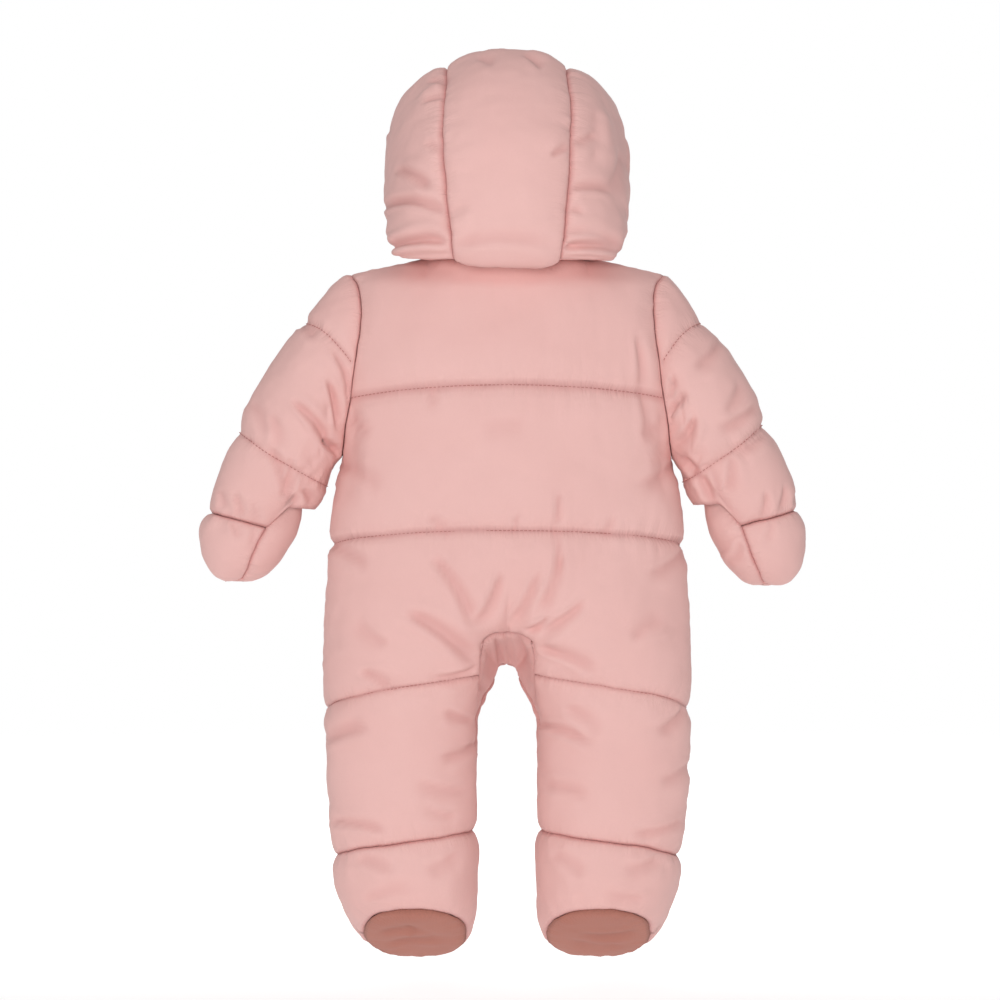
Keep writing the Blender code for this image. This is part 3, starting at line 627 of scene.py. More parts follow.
LEG_MIDDLE = table("height back front", (
    (-205, 0, 0), (-240, 26, 14), (-265, 50, 31), (-290, 67, 50), (-304, 74, 58),
    (-325, 80, 69.5), (-345, 84, 80), (-363, 86.7, 85), (-400, 86.3, 86.3), (-440, 85.3, 85.3),
    (-480, 83.2, 83.2)))
LEG_CLOSING = (-330.0, -404.0)     # where the inner legs narrow to a plain seam
NOTCH = {1: (-290.0, 13.0, 22.0), -1: (-321.0, 7.0, 9.0)}      # top, drop, half width
INNER = {
    1: table("height x", ((-303, 22), (-325, 23), (-345, 26.5), (-363, 30), (-480, 29.5))),
    -1: table("height x", ((-328, 9), (-336, 13), (-346, 20), (-359, 26), (-371, 29.5), (-480, 29.5)))}
ROWS = table("side back front", (
    (-45, -45, -45), (-102, -92, -92), (-150, -141, -141), (-180, -170, -170), (-222, -209, -209),
    (-255, -240, -244), (-280, -264, -270), (-302, -282, -288), (-314, -290, -300), (-322, -296, -312),
    (-331, -304, -321), (-344, -315, -325), (-356, -326, -331), (-367, -337, -341), (-382, -353, -356),
    (-400, -373, -374), (-430, -404, -405), (-458, -436, -436), (-476, -455, -455)))
QUILTED_ROWS = (1, 4, 12)
YOKE_STEPS = 18
BODY_STEPS = 8
BODY_COLUMNS = 58
print("body", len(BODY["height"]), "heights,", len(ROWS["side"]), "rows")

# %% [markdown]
# A point of the body is found from its height and its share of the way round
# from the side seam.  A loft between drawn sections would also do, but a
# formula lets the back, the fronts, the gusset and the bootees meet exactly.

# %% Points of the body
def armhole(height, face):
    """A point of the armhole seam, on the back (1) or the front (-1)."""
    reach = np.clip((height - ARMHOLE_MIDDLE) / ARMHOLE_HALF, -1, 1)
    depth = ARMHOLE_DEPTH * np.sqrt(1 - reach**2)
    return stack(curve(BODY["height"], BODY["side_x"], height), face * depth, height)


def inner_edge(height, face):
    """Half width of the space between the two halves of a panel."""
    top, drop_height, half_width = NOTCH[face]
    drop = np.clip((top - height) / drop_height, 0, 1)
    arch = half_width * np.sqrt(1 - (1 - drop) ** 2)
    edge = np.where(drop < 1, arch, curve(INNER[face]["height"], INNER[face]["x"], height))
    if face > 0:
        return edge
    closing = np.clip((height - ZIP_FOOT + 10) / 10, 0, 1)
    return np.maximum(edge, 0.4 + (ZIP_EDGE - 0.4) * closing)


def body_section(height, share, face):
    """A point of the body: share runs from the side edge to the middle or inner leg."""
    depth = curve(BODY["height"], BODY["depth_back" if face > 0 else "depth_front"], height)
    side = curve(BODY["height"], BODY["side_x"], height)
    middle = curve(LEG_MIDDLE["height"], LEG_MIDDLE["back" if face > 0 else "front"], height)
    legs = INNER[face]
    inner = inner_edge(height, face)
    start = np.arcsin(np.clip((armhole(height, 1)[..., 1] / depth) ** (1 / OVAL_POWER), 0, 1))
    half = (side - middle) / np.cos(start)
    low = np.clip((height - legs["height"][0]) / (legs["height"][-1] - legs["height"][0]) * 4, 0, 1)
    even = curve(legs["height"], legs["x"], height) * low
    whole = np.arccos(np.clip((even - middle) / half, -1, 1))
    end = np.arccos(np.clip((inner - middle) / half, -1, 1))
    closed = np.clip((LEG_CLOSING[0] - height) / (LEG_CLOSING[0] - LEG_CLOSING[1]), 0, 1)
    end = end + (math.pi - end) * closed
    angle = start + (whole - start) * share + (end - whole) * share**NOTCH_REACH
    x = middle + half * np.cos(angle)
    y = depth * np.clip(np.sin(angle), 0, 1) ** OVAL_POWER
    x = np.where(share >= 1, inner, x)
    return stack(x, face * np.maximum(y, SEAM_EDGE), height)


def collar_edge(share, face):
    """The shoulder seam, then the neck edge, from the shoulder's tip to the middle."""
    depth, middle_height = NECK_BACK if face > 0 else NECK_FRONT
    inner = 0.0 if face > 0 else ZIP_EDGE
    slope = np.clip(share / 0.5, 0, 1)
    turn = np.clip((share - 0.5) / 0.5, 0, 1) * math.pi / 2
    neck_x = inner + (NECK_HALF_WIDTH - inner) * np.cos(turn)
    neck_z = NECK_SIDE_HEIGHT + (middle_height - NECK_SIDE_HEIGHT) * np.sin(turn) ** 2
    x = np.where(share < 0.5, SHOULDER_X + (NECK_HALF_WIDTH - SHOULDER_X) * slope, neck_x)
    z = np.where(share < 0.5, NECK_SIDE_HEIGHT * slope, neck_z)
    return stack(x, face * np.maximum(depth * np.sin(turn), SEAM_EDGE), z)


# %% [markdown]
# Half of a panel is a grid.  Its first rows bend from the shoulder and neck
# down to the yoke, and the rest follow the quilting, which droops a little
# from the middle to the sides.

# %% Body grids
def body_grid(face):
    """Half of the back or a front, from the shoulder seam down to the ankle seam."""
    share = np.linspace(0, 1, BODY_COLUMNS + 1)
    collar = collar_edge(share, face)
    yoke = body_section(np.full_like(share, YOKE_HEIGHT), share, face)
    bend = stack((collar[:, 0] + yoke[:, 0]) / 2, yoke[:, 1], collar[:, 2])
    rows = []
    for t in np.arange(YOKE_STEPS) / YOKE_STEPS:
        row = (1 - t) ** 2 * collar + 2 * t * (1 - t) * bend + t**2 * yoke
        seam = armhole(row[0, 2], face)
        seam[1] = face * max(abs(seam[1]), SEAM_EDGE)
        rows.append(row + (1 - share[:, None]) ** 4 * (seam - row[0]))
    count = len(ROWS["side"])
    index = np.arange(count, dtype=float)
    place = np.linspace(0, count - 1, (count - 1) * BODY_STEPS + 1)
    side_heights = curve(index, ROWS["side"], place)
    middle_heights = curve(index, ROWS["back" if face > 0 else "front"], place)
    for side_height, middle_height in zip(side_heights, middle_heights):
        height = side_height + (middle_height - side_height) * np.sin(share * math.pi / 2)
        rows.append(body_section(height, share, face))
    return np.array(rows)


def quilt_lines(grid):
    """The quilting lines across a body panel."""
    return [grid[YOKE_STEPS + row * BODY_STEPS] for row in QUILTED_ROWS]


def clear_of_sleeves(points, normals):
    """The filling thins under the hood and beside the lower armhole."""
    under_hood = np.clip((points[..., 2] + 12) / 12, 0, 1) * 0.75
    side = np.clip((np.abs(points[..., 0]) - 112) / 12, 0, 1)
    beside = side * np.clip(1.4 - np.abs(points[..., 2] + 135) / 40, 0, 1)
    return 1 - np.maximum(under_hood, beside)


# %% [markdown]
# The creases of the seat fan out from the crotch, where a nappy fills the
# suit, and short ones sit at the waist and beside the thighs.

# %% The back
BACK_CREASES = (
    (1, 58, -232, 28, -286, 3.4, 5), (1, 6, -244, 27, -284, 3.2, 4), (1, -24, -243, -4, -282, 2.8, 4),
    (1, -42, -230, -25, -274, 2.8, 4), (1, -60, -266, -24, -290, 3.0, 4), (1, -34, -277, -16, -288, 3.4, 2.6),
    (1, 78, -276, 28, -314, 4.0, 6), (1, 114, -322, 94, -339, 2.8, 5), (1, -28, -302, -72, -322, 2.6, 5),
    (1, 28, -318, 60, -328, 2.2, 4), (1, -37, -206, -38, -244, 3.0, 3), (1, -39, -180, -38, -206, 2.6, 3),
    (1, 62, -200, 46, -214, 2.2, 4), (1, -8, -198, -2, -212, 2.0, 3), (1, -84, -200, -74, -214, 2.0, 4),
    (1, -102, -56, -106, -96, 2.4, 4), (1, -106, -96, -110, -140, 2.0, 5), (1, 64, -96, 58, -110, 2.0, 4),
    (1, 142, -222, 110, -240, 2.4, 5), (1, -142, -224, -112, -246, 2.4, 5),
    (1, 136, -156, 100, -176, 2.0, 7), (1, -136, -154, -104, -174, 2.2, 6),
    (1, 131, -118, 108, -134, 2.2, 5), (1, -130, -118, -104, -130, 2.2, 5),
    (1, -31, -367, -70, -382, 3.2, 4), (1, -50, -350, -74, -374, 2.2, 6), (1, 30, -382, 56, -392, 3.0, 4),
    (1, 33, -362, 52, -353, 2.4, 4), (1, 142, -380, 110, -366, 2.4, 6), (1, -142, -352, -118, -372, 2.6, 5),
    (1, -144, -398, -120, -412, 2.2, 5), (1, 36, -420, 74, -412, 2.2, 6), (1, -34, -416, -66, -424, 2.2, 5),
    (1, 138, -446, 96, -452, 2.8, 4), (1, -138, -444, -100, -454, 2.4, 4), (1, 44, -440, 70, -430, 2.0, 4),
    (1, 96, -300, 120, -282, 1.8, 7), (1, -100, -296, -124, -280, 1.8, 7), (1, -14, -120, 22, -126, 1.2, 9))

half = body_grid(1)
first_leg_row = int(np.argmax(half[:, -1, 0] > 0.01)) - 1
other = half[:, ::-1] * (-1, 1, 1)
back_grid = np.concatenate([half, other], axis=1)
inner_legs = [half[first_leg_row:, -1], other[first_leg_row:, 0]]
back_seams = [back_grid[0], half[-1], other[-1], half[:, 0], other[:, -1]] + inner_legs
back_quilts = []
for row in QUILTED_ROWS:
    row = YOKE_STEPS + row * BODY_STEPS
    if row < first_leg_row:
        back_quilts.append(back_grid[row])
    else:
        back_quilts += [half[row], other[row]]
print("back", back_grid.shape[:2], "points, legs from row", first_leg_row)
cloth("back", back_grid, 1, back_seams + back_quilts, shell_cloth, skip=BODY_COLUMNS,
      creases=BACK_CREASES, relief=clear_of_sleeves, seed=1)

# %% [markdown]
# ## The two fronts
#
# Each front is half as wide and meets its partner at the zip.  The notch is
# lower and narrower than the one behind, so the gusset reaches forward.

# %% The fronts
FRONT_CREASES = (
    (-1, 30, -60, 12, -100, 1.8, 6), (-1, -34, -64, -14, -104, 1.8, 6),
    (-1, 100, -64, 82, -86, 1.6, 6), (-1, -104, -66, -84, -88, 1.6, 6),
    (-1, 62, -176, 14, -204, 1.6, 6), (-1, -58, -180, -14, -206, 1.6, 6),
    (-1, 12, -236, 20, -286, 2.0, 5), (-1, -14, -240, -22, -288, 2.0, 5),
    (-1, 14, -312, 70, -268, 2.6, 5), (-1, -14, -312, -66, -270, 2.6, 5),
    (-1, 16, -324, 88, -318, 2.4, 5), (-1, -16, -324, -86, -320, 2.4, 5),
    (-1, 138, -226, 106, -246, 1.8, 5), (-1, -138, -228, -108, -250, 1.8, 5),
    (-1, 134, -140, 100, -132, 1.6, 6), (-1, -134, -142, -102, -134, 1.6, 6),
    (-1, 34, -360, 70, -384, 1.8, 5), (-1, -34, -362, -68, -386, 1.8, 5),
    (-1, 138, -400, 104, -412, 1.6, 6), (-1, -138, -402, -106, -414, 1.6, 6))
front_half = body_grid(-1)
front_edges = [front_half[0], front_half[-1], front_half[:, 0], front_half[:, -1]]
front_quilts = quilt_lines(front_half)
for side_name, side in (("left", 1), ("right", -1)):
    flip = np.array((side, 1, 1))
    lines = [line * flip for line in front_edges + front_quilts]
    cloth("front_" + side_name, front_half * flip, -side, lines, shell_cloth,
          creases=FRONT_CREASES, relief=clear_of_sleeves, seed=5 + side)

# %% [markdown]
# ## The gusset
#
# A long diamond of the same cloth lets the legs part.  It is thinner and
# flatter than the panels, and ends in a point halfway down each inner leg,
# where the back and the fronts come together.

# %% The gusset
GUSSET_FOOT = -398.0
GUSSET_ARCH = 0.3
GUSSET_INSET = (1.4, 2.6)     # from the back and from the fronts
INSET_SHARE = 0.2             # and never more than this share of its width


def gusset_edge(face):
    """The gusset's edge against the back or the fronts, from one leg to the other."""
    top, drop, _ = NOTCH[face]
    panel_edge = body_grid(face)[::-1, -1]
    line = []
    for step in np.linspace(0, 1, 41):
        if step < GUSSET_ARCH:
            height = top - drop * (1 - math.cos(step / GUSSET_ARCH * math.pi / 2))
        else:
            height = top - drop + (GUSSET_FOOT - top + drop) * (step - GUSSET_ARCH) / (1 - GUSSET_ARCH)
        point = body_section(np.array(height), np.array(1.0), face)
        if step >= GUSSET_ARCH:
            for axis in (0, 1):
                point[axis] = np.interp(height, panel_edge[:, 2], panel_edge[:, axis])
        line.append(point)
    line = np.array(line)
    line[0, 0] = 0.0
    return np.vstack([line[:0:-1] * (-1, 1, 1), line])


print("gusset edge", gusset_edge(1).shape[0], "points")

# %% [markdown]
# The gusset's grid spans the two edges, a little inside each, so that its
# filled face doesn't push through the panels beside it.

# %% Make the gusset
GUSSET_CREASES = (
    (0, 11, -294, 7, -322, 2.2, 3), (0, -8, -292, -15, -320, 2.2, 3), (0, 2, -300, -3, -318, 1.6, 2.4),
    (0, 24, -330, 22, -352, 1.2, 3), (0, -24, -328, -23, -350, 1.2, 3))
behind = gusset_edge(1)
ahead = gusset_edge(-1)
span = ahead - behind
reach = np.linalg.norm(span, axis=-1, keepdims=True)
behind = behind + span / reach * np.minimum(GUSSET_INSET[0], INSET_SHARE * reach)
ahead = ahead - span / reach * np.minimum(GUSSET_INSET[1], INSET_SHARE * reach)
gusset_grid = behind[:, None] + (ahead - behind)[:, None] * np.linspace(0, 1, 15)[None, :, None]
cloth("gusset", gusset_grid, 1, [behind, ahead], shell_cloth, puff=3.0, wall=3.0, reach=14,
      gathers=0.8, creases=GUSSET_CREASES, seed=9)

# %% [markdown]
# ## Sleeves
#
# A padded sleeve stands out from an oval armhole and is quilted round the
# upper arm and the forearm.  Its sections are squarish ovals between an outer
# and an inner edge, so the arm hangs at a child's easy angle.

# %% Sleeves
ARM_NAMES = "along outer_x outer_z inner_x inner_z depth"
SLEEVE = {
    "left": table(ARM_NAMES, (
        (0.00, 128, 0, 135.6, -150.4, 36), (0.12, 147, -20, 141.5, -157, 41),
        (0.24, 163, -41, 143, -160, 43), (0.36, 179, -62, 144, -162, 43),
        (0.48, 196, -88, 145, -165, 41), (0.60, 210, -112, 146, -168, 39),
        (0.68, 217, -130, 147, -171, 36), (0.78, 226, -152, 149, -177, 35),
        (0.88, 235, -175, 151, -184, 32), (1.00, 242, -195, 176, -213, 26))),
    "right": table(ARM_NAMES, (
        (0.00, 128, 0, 135.6, -150.4, 36), (0.12, 142, -22, 141.5, -157, 41),
        (0.24, 157, -41, 142.5, -159, 43), (0.36, 173, -61, 143, -161, 43),
        (0.48, 189, -84, 143.5, -163, 41), (0.60, 202, -108, 144, -165, 39),
        (0.68, 207, -124, 144.5, -168, 36), (0.78, 219, -147, 145, -173, 35),
        (0.88, 230, -172, 147, -180, 32), (1.00, 235, -193, 170, -211, 26)))}
SLEEVE_HEM = 0.925
HIGH_QUILT = 0.24
LOW_QUILT = (0.68, 0.72)
SIDE_SEAMS = (-26.0, 108.0)
LIMB_POWER = 0.85      # below 1 squares the rings of an arm or a boot
ARM_CREASES = (
    (1, 140, -66, 126, -104, 2.8, 3.4), (1, 145, -90, 138, -128, 3.8, 3),
    (1, 171, -106, 141, -147, 3.8, 4), (1, 150, -138, 137, -147, 3.6, 3),
    (1, 188, -116, 185, -146, 1.8, 5), (1, 192, -142, 180, -178, 2.8, 4),
    (1, 175, -150, 182, -180, 3.2, 2.6), (1, 219, -180, 217, -198, 2.2, 3),
    (1, 230, -178, 229, -192, 1.8, 3), (1, 207, -186, 205, -204, 1.8, 3), (1, 172, -40, 152, -56, 2.0, 5),
    (1, 204, -108, 192, -134, 1.8, 6), (1, 166, -176, 158, -188, 2.4, 4),
    (1, 182, -178, 170, -189, 2.6, 4), (1, -131, -116, -147, -99, 3.8, 3.4),
    (1, -141, -150, -168, -190, 3.6, 4), (1, -135, -86, -126, -106, 2.8, 3.4),
    (1, -170, -58, -150, -80, 2.2, 5), (1, -200, -108, -170, -128, 2.8, 5),
    (1, -180, -150, -178, -180, 2.6, 4), (1, -222, -174, -220, -194, 2.2, 3),
    (1, -208, -178, -206, -200, 2.0, 3), (1, -232, -176, -231, -188, 1.8, 3),
    (1, -206, -132, -184, -146, 2.4, 4), (1, -186, -92, -176, -116, 1.8, 6),
    (1, -152, -118, -136, -140, 2.8, 4), (-1, 172, -62, 146, -86, 2.6, 5),
    (-1, 196, -104, 150, -130, 3.4, 5), (-1, 206, -150, 176, -172, 2.8, 4),
    (-1, -168, -60, -146, -84, 2.6, 5), (-1, -190, -102, -148, -128, 3.4, 5),
    (-1, -202, -150, -170, -170, 2.8, 4), (-1, 148, -110, 138, -138, 3.0, 4),
    (-1, -146, -112, -137, -140, 3.0, 4))
print("sleeves", len(SLEEVE["left"]["along"]), "rings,", len(ARM_CREASES), "creases")

# %% [markdown]
# Each ring is a squared oval across the arm.  The first one is pulled on to
# the armhole, and that pull fades down the sleeve, so the seam stays closed
# and the arm still hangs where its table says.

# %% Rings of an arm
def arm_ring(rows, along, angle, side):
    """A point of a sleeve or mitten: angle 0 is its outer edge and 90 its back."""
    row = {name: curve(rows["along"], rows[name], along) for name in rows}
    turn = np.radians(angle)
    width = signed_power(np.cos(turn), LIMB_POWER)
    x = (row["outer_x"] + row["inner_x"]) / 2 + (row["outer_x"] - row["inner_x"]) / 2 * width
    z = (row["outer_z"] + row["inner_z"]) / 2 + (row["outer_z"] - row["inner_z"]) / 2 * width
    return stack(side * x, row["depth"] * signed_power(np.sin(turn), LIMB_POWER), z)


def sleeve_point(name, along, angle, side):
    """A point of the sleeve, whose first ring lies on the armhole seam."""
    point = arm_ring(SLEEVE[name], along, angle, side)
    turn = np.radians(angle)
    height = ARMHOLE_MIDDLE + ARMHOLE_HALF * np.cos(turn)
    seam = armhole(height, 1)
    lap = 0.2 + 0.3 * np.abs(np.cos(turn))
    start = stack(side * (seam[..., 0] + lap), seam[..., 1] * np.sign(np.sin(turn)), height)
    first = arm_ring(SLEEVE[name], np.zeros_like(along), angle, side)
    return point + (start - first) * ((1 - along) ** 3)[..., None]


def clear_of_body(side):
    """The filling thins where the sleeve lies beside the body."""
    def relief(points, normals):
        facing = np.clip(-3 * side * normals[..., 0], 0, 1)
        low = np.clip((ARMHOLE_MIDDLE - points[..., 2]) / 20, 0, 1)
        return 1 - facing * low
    return relief


print("underarm at", arm_ring(SLEEVE["left"], np.array([0.3]), np.array([180.0]), 1).round(1).tolist())

# %% [markdown]
# The palm side of the hem stops short of the back, which leaves the opening
# that the mitten folds out of.  Two quilting lines cross the sleeve, one high
# over the back only and one right round below the elbow.

# %% Make the sleeves
def make_sleeve(name, side):
    """A quilted sleeve; its palm side ends in an open hem above the mitten."""
    angle = (np.arange(120) * 3.0 + SIDE_SEAMS[0])[None, :]
    past = np.maximum(SIDE_SEAMS[0] - angle, angle - SIDE_SEAMS[1])
    past = np.where(angle > 270, SIDE_SEAMS[0] + 360 - angle, past)
    end = 1 - (1 - SLEEVE_HEM) * eased(past / 9)
    along = np.linspace(0, 1, 74)[:, None] ** 1.05 * end
    grid = sleeve_point(name, along, np.broadcast_to(angle, along.shape), side)
    seams = [np.vstack([grid[0], grid[0, :1]])]
    outer, inner = LOW_QUILT
    turn = np.radians(angle[0])
    line = sleeve_point(name, outer + (inner - outer) * (1 - np.cos(turn)) / 2, angle[0], side)
    over = np.linspace(-85, 85, 60)
    high = sleeve_point(name, HIGH_QUILT * np.cos(np.radians(over)) ** 0.8, over, side)
    quilts = [np.vstack([line, line[:1]]), high]
    hem = [np.vstack([grid[-1], grid[-1, :1]])]
    down = np.linspace(0.72, 1.0, 20)
    side_seam = [sleeve_point(name, down, np.full_like(down, SIDE_SEAMS[1]), side)]
    cloth("sleeve_" + name, grid, side, seams + quilts + hem + side_seam, shell_cloth, ring=True,
          puff=5.5, wall=5.0, creases=ARM_CREASES, relief=clear_of_body(side), seed=12 + side)
    return quilts


sleeve_quilts = {side: make_sleeve(name, side) for name, side in (("left", 1), ("right", -1))}

# %% [markdown]
# ## Mittens
#
# The cuff folds over the hand: the back of the hand is sewn to the sleeve
# with small gathers, and the palm is a flap tucked into the open hem.

# %% Mitten tables
MITTEN = {
    "left": table(ARM_NAMES, (
        (-0.40, 216, -174, 170, -180, 16), (-0.12, 228, -187, 172, -198, 20),
        (0.00, 242, -195, 176, -213, 26), (0.30, 247, -211, 183, -224, 27),
        (0.55, 246, -225, 190, -233, 25), (0.78, 242, -237, 197, -240, 19),
        (0.93, 237, -244.5, 204, -245, 11), (1.00, 232, -248, 210, -248, 5))),
    "right": table(ARM_NAMES, (
        (-0.40, 210, -174, 164, -179, 16), (-0.12, 221, -186, 166, -197, 20),
        (0.00, 235, -193, 170, -211, 26), (0.30, 239, -211, 176, -223, 27),
        (0.55, 239, -226, 182, -234, 25), (0.78, 236, -239, 190, -242, 19),
        (0.93, 231, -247.5, 197, -248, 11), (1.00, 226, -251, 203, -251, 5)))}
HAND_CREASES = (
    (1, 226, -200, 218, -216, 1.2, 3), (1, 206, -206, 208, -222, 1.2, 3),
    (1, -190, -219, -185, -234, 1.8, 4), (1, -214, -202, -210, -218, 1.2, 3),
    (-1, 222, -206, 206, -222, 1.6, 4), (-1, -216, -206, -200, -224, 1.6, 4))
print("mittens", len(MITTEN["left"]["along"]), "rings")

# %% [markdown]
# A hand is a ring of two panels, closed along a straight seam at its tip.  A
# round dome would be simpler, but sewn mittens end in a seam.

# %% Make the mittens
def close_tip(grid):
    """Add a last row along the straight seam that closes the tip of the hand."""
    share = np.linspace(0, 1, grid.shape[1])[:, None]
    outward = np.mean(grid[-1], axis=0) - (grid[-1, 0] + grid[-1, -1]) / 2
    outward[2] = 0
    seam = grid[-1, 0] + (grid[-1, -1] - grid[-1, 0]) * share + outward / np.linalg.norm(outward) * SEAM_EDGE
    seam[:, 2] -= 2.0
    steps = [grid[-1] + (seam - grid[-1]) * t for t in (0.35, 0.7, 1.0)]
    return np.concatenate([grid] + [row[None] for row in steps])


def make_mitten(name, side):
    """The back of the hand, and the palm, whose top edge is tucked inside the sleeve."""
    low, high = SIDE_SEAMS
    rows = np.linspace(0.006, 1.0, 30)[:, None]
    angle = np.linspace(low + 0.2, high - 0.2, 44)[None, :]
    back = close_tip(arm_ring(MITTEN[name], *np.broadcast_arrays(rows, angle), side))
    seams = [back[0], back[-1], back[:, 0], back[:, -1]]
    cloth("mitt_back_" + name, back, side, seams, shell_cloth, puff=5.0, wall=4.0, reach=18,
          gathers=1.1, creases=HAND_CREASES, seed=15 + side)
    rows = np.linspace(-0.4, 1.0, 44)[:, None]
    angle = np.linspace(high + 0.2, low + 359.8, 60)[None, :]
    palm = close_tip(arm_ring(MITTEN[name], *np.broadcast_arrays(rows, angle), side))
    seams = [palm[-1], palm[:, 0], palm[:, -1]]
    cloth("mitt_palm_" + name, palm, side, seams, shell_cloth, puff=4.0, wall=4.0, reach=20,
          creases=HAND_CREASES, seed=18 + side)


make_mitten("left", 1)
make_mitten("right", -1)

# %% [markdown]
# ## Boots
#
# The bootees are rings of cloth from the ankle seam to the edge of a sole.
# The toe hangs lower than the heel, so the padded sole shows under the foot.

# %% Boot tables
BOOT = table("along centre_x centre_y centre_z half_width half_length tilt", (
    (0.00, 83.3, 0, -466, 53.8, 46, 2), (0.18, 83.5, -2, -481, 55.0, 49, 6),
    (0.38, 83.0, -5, -497, 53.5, 54, 11), (0.58, 81.0, -8, -512, 51.0, 58, 17),
    (0.78, 78.5, -11, -526, 48.0, 62, 22), (0.92, 76.5, -12, -535, 45.0, 63, 24),
    (1.00, 75.5, -12, -541, 42.5, 62, 25)))
SOLE_WALL = 3.5
BOOT_CREASES = (
    (1, 118, -474, 92, -486, 2.0, 6), (1, 42, -470, 66, -484, 1.8, 6), (1, -120, -474, -94, -484, 2.0, 6),
    (1, -40, -472, -62, -488, 1.8, 6), (1, 112, -506, 76, -498, 1.4, 6), (1, -108, -504, -78, -500, 1.4, 6),
    (-1, 110, -486, 60, -492, 2.0, 6), (-1, -110, -486, -60, -492, 2.0, 6), (-1, 104, -510, 64, -516, 1.6, 6),
    (-1, -102, -510, -66, -516, 1.6, 6))
SOLE_CREASES = (
    (0, 104, -536, 62, -533, 1.6, 4), (0, 98, -549, 50, -543, 1.4, 4), (0, -106, -534, -58, -537, 1.6, 4),
    (0, -96, -548, -52, -545, 1.4, 4), (0, 84, -528, 72, -540, 1.2, 3))
print("boots", len(BOOT["along"]), "rings")

# %% [markdown]
# The first ring of a boot is the leg's own last section, so the ankle seam
# closes.  The rings below it tilt more and more towards the toe.

# %% Rings of a boot
def ankle_ring(angle):
    """The ankle seam, at an angle from the outer side round the back."""
    share = 1 - np.abs(1 - angle / 180.0 % 2)
    height = ROWS["side"][-1] + (ROWS["back"][-1] - ROWS["side"][-1]) * np.sin(share * math.pi / 2)
    behind_leg = body_section(height, share, 1)
    ahead_leg = body_section(height, share, -1)
    ring = np.where((angle % 360 <= 180)[..., None], behind_leg, ahead_leg)
    ring[..., 2] -= 0.25
    return ring


def boot_ring(along, angle):
    """A point of a boot, from the ankle seam to the sole's edge."""
    row = {name: curve(BOOT["along"], BOOT[name], along) for name in BOOT}
    turn = np.radians(angle)
    across = signed_power(np.cos(turn), LIMB_POWER) * row["half_width"]
    forward = signed_power(np.sin(turn), LIMB_POWER) * row["half_length"]
    tilt = np.radians(row["tilt"])
    return stack(row["centre_x"] + across, row["centre_y"] + forward * np.cos(tilt),
                 row["centre_z"] + forward * np.sin(tilt))


print("ankle ring", ankle_ring(np.array([0.0, 90.0, 180.0])).round(1).tolist())

# %% [markdown]
# The sole is a disc of cloth sewn to the last ring.  Its grid is a square
# pressed into a disc, which keeps four-sided faces right across the middle,
# where a fan of triangles would pinch.

# %% Make the boots and soles
def make_boot(name, side):
    """A padded ring of cloth from the ankle to the sole's edge."""
    flip = np.array((side, 1, 1))
    along, angle = np.broadcast_arrays(np.linspace(0, 1, 34)[:, None], (np.arange(112) * 360 / 112)[None, :])
    grid = boot_ring(along, angle)
    grid = grid + (ankle_ring(angle[0]) - grid[0])[None] * ((1 - along) ** 3)[..., None]
    seams = [np.vstack([grid[row], grid[row, :1]]) * flip for row in (0, -1)]
    cloth("boot_" + name, grid * flip, side, seams, shell_cloth, ring=True, puff=5.5, wall=5.0,
          creases=BOOT_CREASES, seed=22 + side)


def make_sole(name, side):
    """A padded flat sole inside the boot's last ring."""
    flip = np.array((side, 1, 1))
    u, v = np.meshgrid(np.linspace(-1, 1, 25), np.linspace(-1, 1, 25), indexing="ij")
    across = u * np.sqrt(1 - v**2 / 2)
    forward = v * np.sqrt(1 - u**2 / 2)
    rim = boot_ring(np.ones_like(u), np.degrees(np.arctan2(forward, across)) % 360)
    middle = np.array((BOOT["centre_x"][-1], BOOT["centre_y"][-1], BOOT["centre_z"][-1]))
    sole = middle + (rim - middle) * np.hypot(across, forward)[..., None]
    tilt = math.radians(BOOT["tilt"][-1])
    sole = sole + np.array((0, math.sin(tilt), -math.cos(tilt))) * 0.8
    edge = np.vstack([sole[0], sole[:, -1], sole[-1, ::-1], sole[::-1, 0]])
    cloth("sole_" + name, sole * flip, -side, [edge * flip], sole_cloth, puff=4.5, wall=SOLE_WALL,
          gathers=1.0, reach=26, creases=SOLE_CREASES, allowance=0.0, seed=25 + side)


for side_name, side in (("left", 1), ("right", -1)):
    make_boot(side_name, side)
    make_sole(side_name, side)

# %% [markdown]
# ## The hood
#
# Three panels make a hood that follows the head: a strip from the brow over
# the crown to the nape, and a side panel each way that curls round to the
# face.  It is open in front, and rolls in a little above the neck seam.

